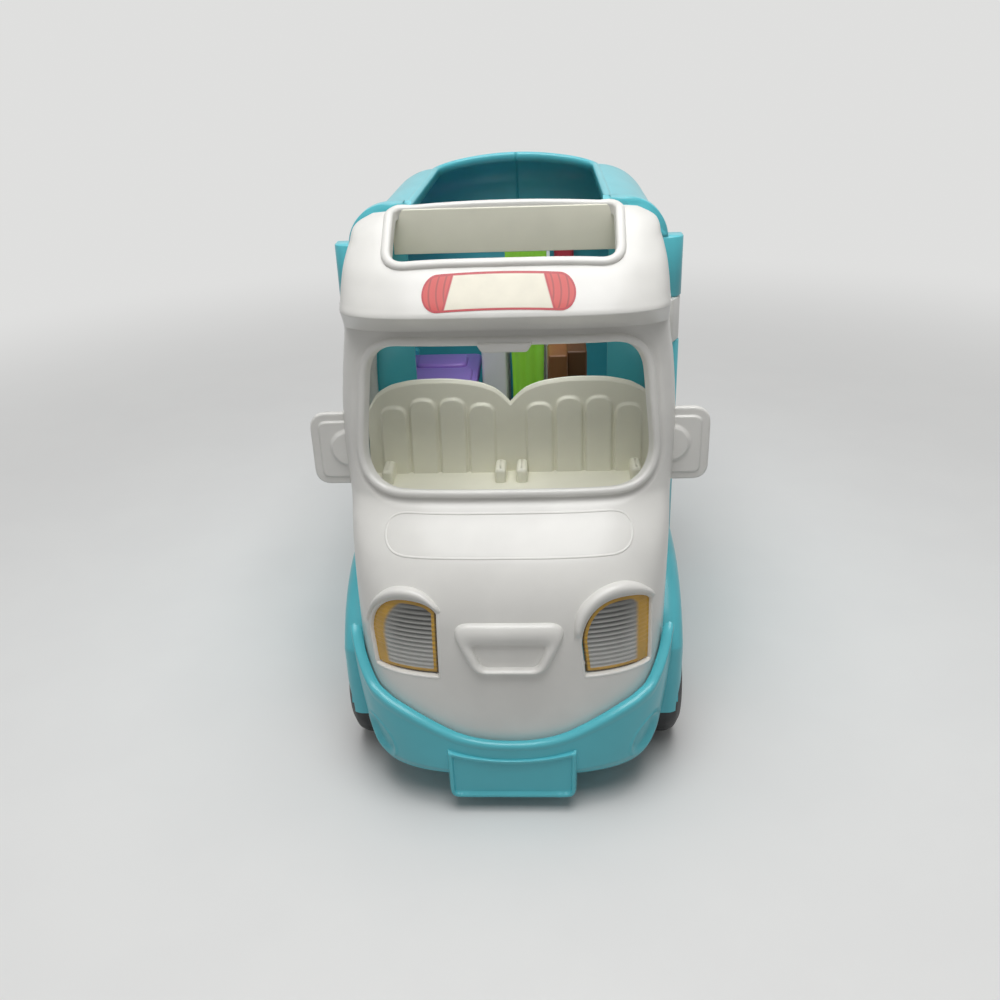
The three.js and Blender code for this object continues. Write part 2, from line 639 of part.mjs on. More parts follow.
function seatBackOutline() {
  const shape = new THREE.Shape();
  shape.moveTo(-SEAT_HALF, SEAT_LEVEL - SEAT_PLATE);
  shape.lineTo(SEAT_HALF, SEAT_LEVEL - SEAT_PLATE);
  shape.lineTo(SEAT_HALF, SEAT_NOTCH - 4);
  shape.bezierCurveTo(SEAT_HALF - 3, SEAT_TOP - 3, SEAT_HALF - 14, SEAT_TOP, 30, SEAT_TOP);
  shape.bezierCurveTo(17, SEAT_TOP, 8, SEAT_TOP - 3, 0, SEAT_NOTCH);
  shape.bezierCurveTo(-8, SEAT_TOP - 3, -17, SEAT_TOP, -30, SEAT_TOP);
  shape.bezierCurveTo(-SEAT_HALF + 14, SEAT_TOP, -SEAT_HALF + 3, SEAT_TOP - 3, -SEAT_HALF, SEAT_NOTCH - 4);
  return shape;
}

function seatBench() {
  const backRear = SEAT_BACK_Y + SEAT_BACK_THICKNESS;
  let bench = join(
    prismY(seatBackOutline(), SEAT_BACK_Y, backRear),
    box(-SEAT_HALF, SEAT_FRONT, SEAT_LEVEL - SEAT_PLATE, SEAT_HALF, backRear, SEAT_LEVEL),
    box(-SEAT_HALF, SEAT_FRONT, SEAT_LEVEL - 4 * SEAT_PLATE, SEAT_HALF, SEAT_FRONT + SEAT_PLATE, SEAT_LEVEL),
  );
  for (const side of [-1, 1]) {
    RIB_TOPS.forEach((top, i) => {
      const x = side * (RIB_FIRST_X + (RIB_TOPS.length - 1 - i) * RIB_PITCH);
      const rib = roundedRect(x - RIB_WIDTH / 2, SEAT_LEVEL - 1, x + RIB_WIDTH / 2, top, RIB_WIDTH * 0.45);
      bench = join(bench, prismY(rib, SEAT_BACK_Y - RIB_HEIGHT, SEAT_BACK_Y + 1));
    });
    ARMREST_XS.forEach((away) => {
      const x = side * away;
      const rest = roundedRect(x - ARMREST_WIDTH / 2, SEAT_LEVEL - 2, x + ARMREST_WIDTH / 2, ARMREST_TOP, 2);
      bench = join(bench, prismY(rest, SEAT_BACK_Y - 12, SEAT_BACK_Y + 1));
    });
    const legX = side * SEAT_LEG_X;
    const legTop = SEAT_LEVEL - SEAT_PLATE / 2;
    const legFront = FRONT_AXLE_Y + AXLE_RADIUS + 4;
    bench = join(
      bench,
      box(legX - SEAT_PLATE / 2, legFront, PAN_TOP + GAP, legX + SEAT_PLATE / 2, backRear, legTop),
    );
  }
  return bench;
}

// Wheels

function wheel() {
  const r = WHEEL_RADIUS;
  const w = WHEEL_WIDTH;
  const bore = AXLE_RADIUS + GAP;
  return revolveX(
    [
      [bore, 0], [8, 0], [9, 8], [r - 5, 8], [r - 4, 0], [r - 2, 0], [r, 2],
      [r, w - 6], [r - 1.6, w - 2.6], [r - 6, w],
      [HUBCAP_RADIUS + GAP, w - 1], [HUBCAP_RADIUS + GAP, w - 4], [bore, w - 4], [bore, 0],
    ],
    WHEEL_FACETS,
  );
}

function hubcap() {
  const floor = WHEEL_WIDTH - 4 + GAP;
  const r = HUBCAP_RADIUS;
  return revolveX(
    [
      [0, floor], [r, floor], [r, floor + 1.8], [r - 1.6, floor + 2.6], [r - 4, floor + 1.6],
      [7, floor + 1.8], [5.4, floor + 3.2], [0, floor + 3.5],
    ],
    18,
  );
}

// Camper body halves, made as the left one

// Half of the body's section: an upright side, a round shoulder and a gently crowned roof
function roofArch(inset) {
  const half = BODY_HALF_WIDTH - inset;
  const radius = SHOULDER_RADIUS - inset;
  const spring = SHOULDER_TOP - SHOULDER_RADIUS;
  const shape = new THREE.Shape();
  shape.moveTo(SEAM, -BODY_LOW);
  shape.lineTo(half, -BODY_LOW);
  shape.absarc(half - radius, spring, radius, 0, Math.PI / 2);
  shape.quadraticCurveTo((half - radius) / 2, ROOF_CROWN - inset, SEAM, ROOF_CROWN - inset);
  return shape;
}

function bodyPlan(inset, front) {
  const half = BODY_HALF_WIDTH - inset;
  const rear = BODY_WALL_REAR - inset;
  const radius = REAR_CORNER_RADIUS - inset;
  const shape = new THREE.Shape();
  shape.moveTo(SEAM, front);
  shape.lineTo(half, front);
  shape.absarc(half - radius, rear - radius, radius, 0, Math.PI / 2);
  shape.lineTo(SEAM, rear);
  return shape;
}

function bodySide(inset, front) {
  const top = ROOF_CROWN + ROOF_RIM_HEIGHT - inset;
  const rear = BODY_WALL_REAR - inset;
  const radius = REAR_TOP_RADIUS - inset;
  const shape = new THREE.Shape();
  shape.moveTo(front, 0);
  shape.lineTo(rear, 0);
  shape.absarc(rear - radius, top - radius, radius, 0, Math.PI / 2);
  shape.lineTo(front, top);
  return shape;
}

// The roof falls a little towards the rear, so its arch is sheared along y
function roofSpan(inset, front) {
  const shear = new THREE.Matrix4().set(1, 0, 0, 0, 0, 1, 0, 0, 0, -ROOF_FALL / LENGTH, 1, 0, 0, 0, 0, 1);
  const level = geometryOf(prismY(roofArch(inset), front, LENGTH));
  return solidOf(level.applyMatrix4(shear).translate(0, 0, (ROOF_FALL * BODY_FRONT) / LENGTH));
}

const bodyForm = (inset, front) =>
  overlap(
    roofSpan(inset, front),
    prismZ(bodyPlan(inset, front), inset > 0 ? 0 : BODY_LOW, FAR),
    prismX(bodySide(inset, front), 0, FAR),
  );

const roofOpening = (grow) => {
  const half = ROOF_OPENING_HALF + grow;
  const rear = ROOF_OPENING_REAR + grow;
  return prismZ(roundedRect(-half, 0, half, rear, ROOF_OPENING_RADIUS + grow), SHOULDER_TOP - 30, FAR);
};

// The front hoop follows the cap's rear outline and stands a little proud of the roof
function hoop() {
  const shape = new THREE.Shape();
  shape.moveTo(FLANGE_INNER_X, BODY_LOW);
  shape.lineTo(HOOP_HALF, BODY_LOW);
  shape.absarc(HOOP_HALF - HOOP_RADIUS, HOOP_TOP - HOOP_RADIUS, HOOP_RADIUS, 0, Math.PI / 2);
  shape.lineTo(FLANGE_INNER_X, HOOP_TOP);
  const band = prismY(shape, BODY_FRONT, BODY_FRONT + HOOP_DEPTH);
  return cut(band, overlap(bodyForm(WALL, BODY_FRONT + FLANGE_THICKNESS), box(0, 0, 0, HOOP_HALF - WALL, FAR, FAR)));
}

function hingeBlock() {
  const innerX = HINGE_X - HINGE_REACH;
  const rear = HINGE_Y + HINGE_REACH;
  return join(
    box(innerX, BODY_FRONT, BODY_LOW, HINGE_X, rear, BLOCK_TOP),
    box(HINGE_X, HINGE_Y, BODY_LOW, BODY_HALF_WIDTH, rear, BLOCK_TOP),
    cylinderZ(HINGE_X, HINGE_Y, HINGE_REACH, BODY_LOW, BLOCK_TOP, 24),
  );
}

// The room that the cab's lugs and the pins take out of a half's hinge block
function hingeSpace() {
  const spaces = [UPPER_LUG, LOWER_LUG].map((height) =>
    join(
      box(
        HINGE_X - HINGE_REACH - WALL, 0, height.low - GAP,
        FAR, HINGE_Y + HINGE_REACH + GAP, height.high + GAP),
      cylinderZ(
        HINGE_X, HINGE_Y, PIN_RADIUS + GAP, height.low - PIN_OVERHANG - GAP, height.high + PIN_OVERHANG + GAP),
    ),
  );
  return join(...spaces);
}

function halfShell() {
  const cornerCut = cut(
    box(HINGE_X, 0, 0, FAR, HINGE_Y, FAR),
    cylinderZ(HINGE_X, HINGE_Y, HINGE_REACH, 0, FAR, 24),
  );
  const outer = bodyForm(0, BODY_FRONT);
  const inner = bodyForm(WALL, BODY_FRONT + FLANGE_THICKNESS);
  const frontOpening = box(-FAR, 0, 0, FLANGE_INNER_X, BODY_FRONT + FLANGE_THICKNESS + 1, FAR);
  const arch = roofSpan(-ROOF_RIM_HEIGHT, BODY_FRONT);
  const rim = cut(
    overlap(arch, roofOpening(ROOF_RIM), prismX(bodySide(0, BODY_FRONT), SEAM, FAR)),
    bodyForm(WALL, 0),
  );
  const windowSpace = (grow) =>
    roundedRect(
      SIDE_WINDOW_FRONT - grow, SIDE_WINDOW_LOW - grow, SIDE_WINDOW_REAR + grow, SIDE_WINDOW_HIGH + grow,
      SIDE_WINDOW_RADIUS + grow);
  const frame = prismX(
    windowSpace(SIDE_WINDOW_FRAME), BODY_INNER_X + WALL / 2, BODY_HALF_WIDTH + SIDE_WINDOW_FRAME_HEIGHT);
  const step = overlap(
    prismZ(roundedRect(-FAR, 0, BODY_HALF_WIDTH - 6, LENGTH, 14), BODY_LOW, REAR_BUMPER_HIGH),
    box(SEAM, BODY_WALL_REAR - WALL / 2, 0, FAR, FAR, FAR),
  );
  let half = join(cut(outer, inner), hingeBlock(), hoop(), rim, frame, step);
  half = cut(half, roofOpening(0), frontOpening, cornerCut, hingeSpace(), prismX(windowSpace(0), 0, FAR));
  const archRadius = WELL_RADIUS;
  return cut(half, cylinderX(REAR_AXLE_Y, WHEEL_Z, archRadius, WELL_INNER_X, FAR, WHEEL_FACETS));
}

function halfFloor() {
  const inset = WALL + GAP;
  const front = BODY_FRONT + FLANGE_THICKNESS + GAP;
  const plate = cut(
    prismZ(bodyPlan(inset, front), FLOOR_LOW, FLOOR_TOP),
    box(
      HINGE_X - HINGE_REACH - GAP, 0, 0, FAR, HINGE_Y + HINGE_REACH + GAP, FAR),
  );
  const well = overlap(
    cylinderX(REAR_AXLE_Y, WHEEL_Z, WELL_RADIUS + WALL, WELL_INNER_X, BODY_INNER_X - GAP, WHEEL_FACETS),
    box(0, 0, FLOOR_LOW, FAR, FAR, FAR),
  );
  const boss = cylinderX(
    REAR_AXLE_Y, WHEEL_Z, AXLE_BOSS_RADIUS, WELL_INNER_X - AXLE_BOSS_LENGTH, WELL_INNER_X + WALL, 16);
  const bore = cylinderX(
    REAR_AXLE_Y, WHEEL_Z, AXLE_RADIUS + GAP, WELL_INNER_X - AXLE_BOSS_LENGTH + WALL, FAR, 16);
  const wheelRoom = cylinderX(REAR_AXLE_Y, WHEEL_Z, WELL_RADIUS, WELL_INNER_X + WALL, FAR, WHEEL_FACETS);
  return cut(join(plate, well, boss), wheelRoom, bore);
}

function seamTongue() {
  const front = BODY_FRONT + FLANGE_THICKNESS + TONGUE_INSET;
  const top = FLOOR_LOW - GAP;
  return box(-TONGUE_REACH, front, top - WALL, 2 * TONGUE_REACH, REAR_AXLE_Y, top);
}

// Fittings of the right half are made on the +X side and mirrored with it

function bunk() {
  const { front, rear, freeEdge, low, top } = BUNK;
  const wallSide = BUNK_PIVOT_X + BUNK_PIVOT_RADIUS / 2;
  const tray = prismZ(roundedRect(freeEdge, front, wallSide, rear, 4), low, top);
  const mattress = prismZ(roundedRect(freeEdge + 3, front + 3, wallSide - 4, rear - 3, 3), top - 1.8, FAR);
  const pillow = prismZ(roundedRect(freeEdge + 7, rear - 26, wallSide - 7, rear - 7, 6), top - 3, top + 2);
  const pivot = cylinderY(
    BUNK_PIVOT_X, BUNK_PIVOT_Z, BUNK_PIVOT_RADIUS, front - BUNK_PIVOT_LENGTH, rear + BUNK_PIVOT_LENGTH, 12);
  return join(cut(tray, mattress), pillow, pivot);
}

function bunkBracket(end) {
  const near = end > 0 ? BUNK.rear + GAP : BUNK.front - GAP - BRACKET_WIDTH;
  const wall = BODY_INNER_X - GAP;
  const inner = BUNK_PIVOT_X - 2.5 * BUNK_PIVOT_RADIUS;
  const cheek = prismY(
    roundedRect(inner, BUNK.low - 8, wall, BUNK_PIVOT_Z + 2.5 * BUNK_PIVOT_RADIUS, 2), near, near + BRACKET_WIDTH);
  const ledgeFrom = end > 0 ? BUNK.rear - BRACKET_LEDGE : near;
  const ledge = box(
    inner, ledgeFrom, BUNK.low - 6, wall - 2, ledgeFrom + BRACKET_LEDGE + BRACKET_WIDTH, BUNK.low - GAP);
  const pivotRoom = cylinderY(BUNK_PIVOT_X, BUNK_PIVOT_Z, BUNK_PIVOT_RADIUS + GAP, 0, FAR, 12);
  return cut(join(cheek, ledge), pivotRoom);
}

function wardrobe() {
  const { inner, outer, front, rear, high } = WARDROBE;
  const body = prismZ(roundedRect(inner, front, outer, rear, 2), FLOOR_SEAT, high);
  const split = box(inner - 1, (front + rear) / 2 - 0.4, FLOOR_SEAT + 6, inner + 0.6, (front + rear) / 2 + 0.4, high - 6);
  return cut(body, split);
}

function washroom() {
  const { inner, outer, front, rear, high } = WASHROOM;
  const body = prismZ(roundedRect(inner, front, outer, rear, 2), FLOOR_SEAT, high);
  const room = box(inner + WALL, 0, FLOOR_SEAT + WALL, outer - WALL, rear - WALL, FAR);
  return cut(body, room);
}

// A moulded curtain: a wavy sheet, drawn in at its waist
function curtain() {
  const { inner, outer, front, low, high, thickness, waves } = CURTAIN;
  const middle = (inner + outer) / 2;
  const steps = 18;
  const levels = [0, 0.25, 0.5, 0.75, 1].map((share) => low + share * (high - low));
  const ring = (z) => {
    const share = (z - low) / (high - low);
    const half = ((outer - inner) / 2) * (1 - 0.22 * Math.sin(Math.PI * share) ** 2);
    const point = (i, back) => {
      const turn = (i / steps) * 2 * Math.PI * waves;
      const x = middle + half * ((2 * i) / steps - 1);
      return new THREE.Vector3(x, front + 1 + Math.sin(turn) + (back ? thickness : 0), z);
    };
    const list = [];
    for (let i = 0; i <= steps; i++) list.push(point(i, false));
    for (let i = steps; i >= 0; i--) list.push(point(i, true));
    return list;
  };
  return wavySheet(levels.map(ring), steps);
}

// Like a loft, with each end closed by a strip across the sheet instead of a fan
function wavySheet(rings, steps) {
  const count = rings[0].length;
  const position = rings.flatMap((ring) => ring.flatMap((p) => [p.x, p.y, p.z]));
  const index = [];
  for (let level = 0; level + 1 < rings.length; level++) {
    for (let i = 0; i < count; i++) {
      const [a, b] = [level * count + i, level * count + ((i + 1) % count)];
      index.push(a, b, b + count, a, b + count, a + count);
    }
  }
  const top = (rings.length - 1) * count;
  for (let i = 0; i < steps; i++) {
    const [a, b, c, d] = [i, i + 1, count - 2 - i, count - 1 - i];
    index.push(a, c, b, a, d, c, top + a, top + b, top + c, top + a, top + c, top + d);
  }
  const geometry = new THREE.BufferGeometry();
  geometry.setAttribute("position", new THREE.Float32BufferAttribute(position, 3));
  geometry.setIndex(index);
  return solidOf(geometry);
}

function kitchen() {
  const { inner, split, outer, front, rear, high, step } = KITCHEN;
  const tall = join(
    box(inner, front, FLOOR_SEAT, split, rear, high),
    box(split - 1, front + step, FLOOR_SEAT, outer, rear, high),
  );
  const counter = prismZ(
    roundedRect(outer - 1, COUNTER.front, BODY_INNER_X - GAP, rear, 3), FLOOR_SEAT, COUNTER.high);
  const drawer = box(0, front - 1, high - 9, split - 1.5, front + 0.8, high - 8.2);
  const door = box(outer - 2, (COUNTER.front + rear) / 2, FLOOR_SEAT + 5, outer - 0.4, rear - 5, COUNTER.high - 14);
  return cut(join(tall, counter), drawer, overlap(door, box(outer - 2, 0, 0, outer - 0.6, FAR, FAR)));
}

function hob() {
  const { margin, height } = HOB;
  const [x0, x1] = [KITCHEN.outer + margin, BODY_INNER_X - GAP - margin];
  const low = COUNTER.high + GAP;
  const plate = prismZ(
    roundedRect(x0, COUNTER.front + margin, x1, KITCHEN.rear - margin, 3), low, low + height);
  const middle = (x0 + x1) / 2;
  const rings = [COUNTER.front + margin + 15, KITCHEN.rear - margin - 15].map((y) =>
    cut(cylinderZ(middle, y, 10, low + height - 0.8, FAR), cylinderZ(middle, y, 7, 0, FAR)));
  return cut(plate, ...rings);
}

function cupboard() {
  const { inner, outer, depth, low, high } = CUPBOARD;
  const rear = BODY_WALL_REAR - WALL - GAP;
  return prismZ(roundedRect(inner, rear - depth, outer, rear, 2), low, high);
}

// Colours and finishes
const plastic = (color, roughness = 0.38) => new THREE.MeshStandardMaterial({ color, roughness, metalness: 0 });
const WHITE = plastic(0xeeebe4);
const CREAM = plastic(0xe6e4d3, 0.45);
const TEAL = plastic(0x62bfcc);
const BLACK = plastic(0x17191c, 0.6);
const PURPLE = plastic(0x7259a8);
const LIME = plastic(0x8bdc3c);
const BROWN = plastic(0x7a4a22, 0.5);
const RED = plastic(0xe2445a);
const LENS = plastic(0x8d9090, 0.3);
const STEEL = new THREE.MeshStandardMaterial({ color: 0xb9bcc0, roughness: 0.35, metalness: 1 });

function piece(parent, name, solid, material, side = 1) {
  const mesh = new THREE.Mesh(geometryOf(solid), material);
  mesh.name = name;
  mesh.scale.x = side;
  parent.add(mesh);
  return mesh;
}

const van = new THREE.Group();
const frame = new THREE.Group();
frame.position.y = -LENGTH / 2;
van.add(frame);

// The cab and what it carries
piece(frame, "chassis", chassis(), TEAL);
piece(frame, "front_bumper", bumper(), TEAL);
piece(frame, "cab_shell", cabShell(), WHITE);
piece(frame, "roof_cap", roofCap(), WHITE);
piece(frame, "seat_bench", seatBench(), CREAM);
const frontAxleReach = WHEEL_OUTER_X - 4 - GAP;
const wheelSolid = wheel();
const hubcapSolid = hubcap();
piece(frame, "front_axle", cylinderX(FRONT_AXLE_Y, WHEEL_Z, AXLE_RADIUS, -frontAxleReach, frontAxleReach, 16), STEEL);

for (const [name, side] of [["left", 1], ["right", -1]]) {
  piece(frame, "headlight_" + name, headlightLens(side * LAMP_X), LENS);
  piece(frame, "mirror_" + name, mirror(), WHITE, side);
  for (const [level, height] of [["upper", UPPER_LUG], ["lower", LOWER_LUG]]) {
    const pin = cylinderZ(0, 0, PIN_RADIUS, height.low - PIN_OVERHANG, height.high + PIN_OVERHANG, 12);
    piece(frame, "hinge_pin_" + name + "_" + level, pin, STEEL).position.set(side * HINGE_X, HINGE_Y, 0);
  }
  for (const [end, y] of [["front", FRONT_AXLE_Y], ["rear", REAR_AXLE_Y]]) {
    const place = new THREE.Vector3(side * WHEEL_INNER_X, y, WHEEL_Z);
    piece(frame, "wheel_" + end + "_" + name, wheelSolid, BLACK, side).position.copy(place);
    piece(frame, "hubcap_" + end + "_" + name, hubcapSolid, WHITE, side).position.copy(place);
  }
  const stub = cylinderX(
    REAR_AXLE_Y, WHEEL_Z, AXLE_RADIUS, WELL_INNER_X - AXLE_BOSS_LENGTH + WALL + GAP, frontAxleReach, 16);
  piece(frame, "rear_axle_" + name, stub, STEEL, side);
  piece(frame, "body_half_" + name, halfShell(), TEAL, side);
  piece(frame, "floor_" + name, halfFloor(), TEAL, side);
}

// Fittings of the right half, then of the left half
piece(frame, "seam_tongue", seamTongue(), TEAL, -1);
piece(frame, "bunk", bunk(), PURPLE, -1);
piece(frame, "bunk_bracket_front", bunkBracket(-1), TEAL, -1);
piece(frame, "bunk_bracket_rear", bunkBracket(1), TEAL, -1);
piece(frame, "wardrobe", wardrobe(), WHITE, -1);
piece(frame, "washroom", washroom(), WHITE);
piece(frame, "curtain", curtain(), LIME);
piece(frame, "kitchen_unit", kitchen(), BROWN);
piece(frame, "hob", hob(), WHITE);
piece(frame, "wall_cupboard", cupboard(), RED);

export default van;
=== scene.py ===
"""Dresses the toy camper van: smooth moulded surfaces, finishes, a pale stage and the photograph's camera."""
import math

import bpy
import numpy as np
from mathutils import Matrix


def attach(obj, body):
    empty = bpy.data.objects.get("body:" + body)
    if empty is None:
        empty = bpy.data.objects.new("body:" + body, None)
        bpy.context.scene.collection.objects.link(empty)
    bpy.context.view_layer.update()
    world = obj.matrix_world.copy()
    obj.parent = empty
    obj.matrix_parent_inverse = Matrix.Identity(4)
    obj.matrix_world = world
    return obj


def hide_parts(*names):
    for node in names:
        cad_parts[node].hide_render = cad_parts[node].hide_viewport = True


bl_info = {
    "name": "Toy camper van dresser",
    "version": (1, 0, 0),
    "blender": (4, 5, 0),
    "location": "View3D > Sidebar > Camper",
    "description": "Builds the moulded surfaces, finishes and stage of a toy camper van",
    "category": "Object",
}

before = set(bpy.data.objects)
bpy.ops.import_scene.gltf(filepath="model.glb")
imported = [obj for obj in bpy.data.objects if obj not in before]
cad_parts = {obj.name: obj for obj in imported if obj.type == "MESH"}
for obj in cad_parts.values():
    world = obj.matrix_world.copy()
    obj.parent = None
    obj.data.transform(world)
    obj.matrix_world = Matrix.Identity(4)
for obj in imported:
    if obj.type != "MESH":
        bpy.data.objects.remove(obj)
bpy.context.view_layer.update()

# Shapes are worked out in millimetres, with y counted back from the front plate
FRONT_SHIFT = 140.0
GAP = 0.3
CAB_REAR = 104.6
CAB_LOW, CAB_TOP = 17.3, 183.5
BODY_FRONT = 105.3
BODY_REAR = 276.5
BODY_HALF = 71.3
SIDES = ((1, "left"), (-1, "right"))
WHEEL_Z = 28 * math.cos(math.pi / 24)
FRONT_WHEEL_Y = 60.0
REAR_WHEEL_Y = 226.0
PIN_X, PIN_Y = 66.3, 110.3
LUG_GAPS = {"upper": (160.2, 179.1), "lower": (29.7, 46.3)}
LENS_LOW = 62.0
LENS_RIB = 1.82

CAB_POWER = 3.2
CAB_FORM = np.array([
    # height, nose, bend, half width
    (13, 6.2, 40, 54.5), (20, 5.4, 40, 55.5), (33, 5, 40, 57.3), (60, 6.2, 40, 60.2), (74, 7.6, 40, 60.7),
    (84, 9.6, 39.5, 61.1), (92, 13, 38, 61.6), (98, 17, 35.5, 62), (104, 22.3, 32, 62.4), (110, 29.4, 28.5, 62.9),
    (114.5, 35.4, 26, 63.3), (118, 39.2, 24, 63.7), (122, 41.2, 23, 64.1), (150, 45.7, 22, 64.8),
    (170, 49, 21, 63), (184, 51.3, 21, 61.3),
], float)
CAP_POWER = 3.8
CAP_FORM = np.array([
    (182.4, 50.6, 21, 61.5), (189.3, 40.9, 26.7, 61.2), (189.7, 40.35, 27, 61.2), (190.1, 40.2, 27, 61.1),
    (190.6, 40.35, 27, 61.1), (193, 41.9, 27, 60.9), (198.4, 46.6, 26, 60.7), (204, 52.4, 25, 60.2),
    (210, 61.6, 23, 58.9), (216, 72, 18, 56.4), (219.5, 78.6, 13, 49.5), (222.6, 84.5, 8, 43.5),
], float)


# Curves and outlines

def curve_through(x, xs, ys):
    """A cubic through the points (xs, ys), whose slope at each point is the mean of its neighbours' slopes."""
    gap = np.diff(xs)
    rise = np.diff(ys) / gap
    middle = (rise[:-1] * gap[1:] + rise[1:] * gap[:-1]) / (gap[:-1] + gap[1:])
    slope = np.concatenate([rise[:1], middle, rise[-1:]])
    i = np.clip(np.searchsorted(xs, x) - 1, 0, len(gap) - 1)
    t = np.clip((x - xs[i]) / gap[i], 0, 1)
    return ((1 + 2 * t) * (1 - t) ** 2 * ys[i] + t * (1 - t) ** 2 * gap[i] * slope[i]
            + t * t * (3 - 2 * t) * ys[i + 1] + t * t * (t - 1) * gap[i] * slope[i + 1])


def form_at(form, z):
    """Nose, bend and half width of a form at the heights z."""
    return [curve_through(z, form[:, 0], form[:, k]) for k in (1, 2, 3)]


def bezier(points, count):
    """A line, or a quadratic or cubic curve, from its control points, without its last point."""
    t = np.linspace(0, 1, count, endpoint=False)[:, None]
    p = np.array(points, float)
    while len(p) > 1:
        p = [a * (1 - t) + b * t for a, b in zip(p[:-1], p[1:])]
    return p[0]


def rounded(corners, count=10):
    """A closed outline through corners (x, y, radius), each rounded by a quadratic curve."""
    parts = []
    for i, (x, y, r) in enumerate(corners):
        here = np.array((x, y), float)
        before = np.array(corners[i - 1][:2]) - here
        after = np.array(corners[(i + 1) % len(corners)][:2]) - here
        start = here + before / np.linalg.norm(before) * r
        end = here + after / np.linalg.norm(after) * r
        parts.append(np.vstack([bezier([start, here, end], count), end]))
    return np.vstack(parts)


def rounded_rect(x0, y0, x1, y1, r, count=10):
    """A rectangle's outline with all its corners rounded alike."""
    return rounded([(x0, y0, r), (x1, y0, r), (x1, y1, r), (x0, y1, r)], count)


def lengths_of(path):
    """The distance along a path to each of its points."""
    return np.concatenate([[0], np.cumsum(np.linalg.norm(np.diff(path, axis=0), axis=1))])


def at_lengths(path, places):
    """The points of a path at distances along it."""
    length = lengths_of(path)
    return np.stack([np.interp(places, length, axis) for axis in path.T], 1)


def evened(outline, spacing):
    """The same closed outline with points at even steps."""
    loop = np.vstack([outline, outline[:1]])
    total = lengths_of(loop)[-1]
    return at_lengths(loop, np.linspace(0, total, max(12, int(total / spacing)), endpoint=False))


def resampled(path, count):
    """A number of points of a path, at even steps along its length."""
    return at_lengths(path, np.linspace(0, lengths_of(path)[-1], count))


def signed_distance(u, v, outline):
    """Distance from the points (u, v) to a closed outline: positive outside it and negative inside."""
    a, b = outline, np.roll(outline, -1, axis=0)
    best = np.full(u.shape, 1e9)
    inside = np.zeros(u.shape, bool)
    for (ax, ay), (bx, by) in zip(a, b):
        ex, ey = bx - ax, by - ay
        t = np.clip(((u - ax) * ex + (v - ay) * ey) / max(ex * ex + ey * ey, 1e-12), 0, 1)
        best = np.minimum(best, (u - ax - t * ex) ** 2 + (v - ay - t * ey) ** 2)
        if ay != by:
            inside ^= ((ay > v) != (by > v)) & (u < ax + (v - ay) / (by - ay) * ex)
    return np.where(inside, -1, 1) * np.sqrt(best)


def step(low, high, x):
    """A smooth rise from 0 at low to 1 at high."""
    t = np.clip((x - low) / (high - low), 0, 1)
    return t * t * (3 - 2 * t)


def bump(x, low, high, edge):
    """1 between low and high, falling smoothly to 0 within edge outside them."""
    return step(low - edge, low, x) * (1 - step(high, high + edge, x))


# Meshes

def normals_of(points):
    """Unit normals of a grid of points: the product of its column and row directions."""
    n = np.cross(np.gradient(points, axis=1), np.gradient(points, axis=0))
    return n / np.maximum(np.linalg.norm(n, axis=2, keepdims=True), 1e-9)


def mesh_piece(name, points, finish, body, replaces=(), slot=None, keep=None, closed=False, flip=False,
               attributes=None, thickness=0.0, ends=False):
    """An object from a grid of points (rows, columns, 3) in millimetres.

    keep marks the cells that stay, closed joins the last column to the first, ends closes the first and last
    row by a fan, and thickness adds an inner wall. The slot, the finish's own unless another is given, is worked out
    but not used.
    """
    rows, cols = points.shape[:2]
    index = np.arange(rows * cols).reshape(rows, cols)
    right = np.roll(index, -1, axis=1) if closed else index[:, 1:]
    left = index if closed else index[:, :-1]
    quads = np.stack([left[:-1], right[:-1], right[1:], left[1:]], -1)
    quads = quads[keep] if keep is not None else quads.reshape(-1, 4)
    verts = points.reshape(-1, 3)
    groups = [quads]
    if ends:
        extra = np.stack([points[0].mean(0), points[-1].mean(0)])
        base = len(verts)
        verts = np.vstack([verts, extra])
        first = np.stack([right[0], left[0], np.full(len(left[0]), base)], 1)
        last = np.stack([left[-1], right[-1], np.full(len(left[-1]), base + 1)], 1)
        groups += [first, last]
    if flip:
        groups = [group[:, ::-1] for group in groups]
    used = np.arange(len(verts))
    if keep is not None:
        used = np.unique(np.concatenate([group.ravel() for group in groups]))
    order = np.full(len(verts), -1)
    order[used] = np.arange(len(used))
    faces = sum((order[group].tolist() for group in groups), [])
    placed = (verts[used] - (0, FRONT_SHIFT, 0)) * 0.001
    mesh = bpy.data.meshes.new(name)
    mesh.from_pydata(placed.tolist(), [], faces)
    for key, values in (attributes or {}).items():
        flat = values.reshape(-1)
        if ends:
            flat = np.concatenate([flat, [values[0].mean(), values[-1].mean()]])
        mesh.attributes.new(key, "FLOAT", "POINT").data.foreach_set("value", flat[used].astype(np.float32))
    mesh.polygons.foreach_set("use_smooth", np.ones(len(mesh.polygons), bool))
    mesh.validate()
    mesh.update()
    piece = bpy.data.objects.new(name, mesh)
    bpy.context.scene.collection.objects.link(piece)
    piece.data.materials.append(finish_of(finish))
    if thickness:
        wall = piece.modifiers.new("wall", "SOLIDIFY")
        wall.thickness = thickness * 0.001
        wall.offset = -1
        wall.use_even_offset = False
    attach(piece, body)
    slot = slot or slot_of(finish)
    if replaces:
        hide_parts(*replaces)
    return piece


def mirrored(points, side):
    """The points on the van's other side when side is -1."""
    return points * (side, 1, 1)


def solid_piece(name, points, finish, body, replaces=(), side=1):
    """A closed solid from rings of points, on either side of the van."""
    mesh_piece(name, mirrored(points, side), finish, body, replaces, closed=True, ends=True, flip=side < 0)


def cells(grid):
    """The x, y and z of the middle of each cell of a grid."""
    return np.moveaxis((grid[:-1, :-1] + grid[1:, 1:]) / 2, -1, 0)


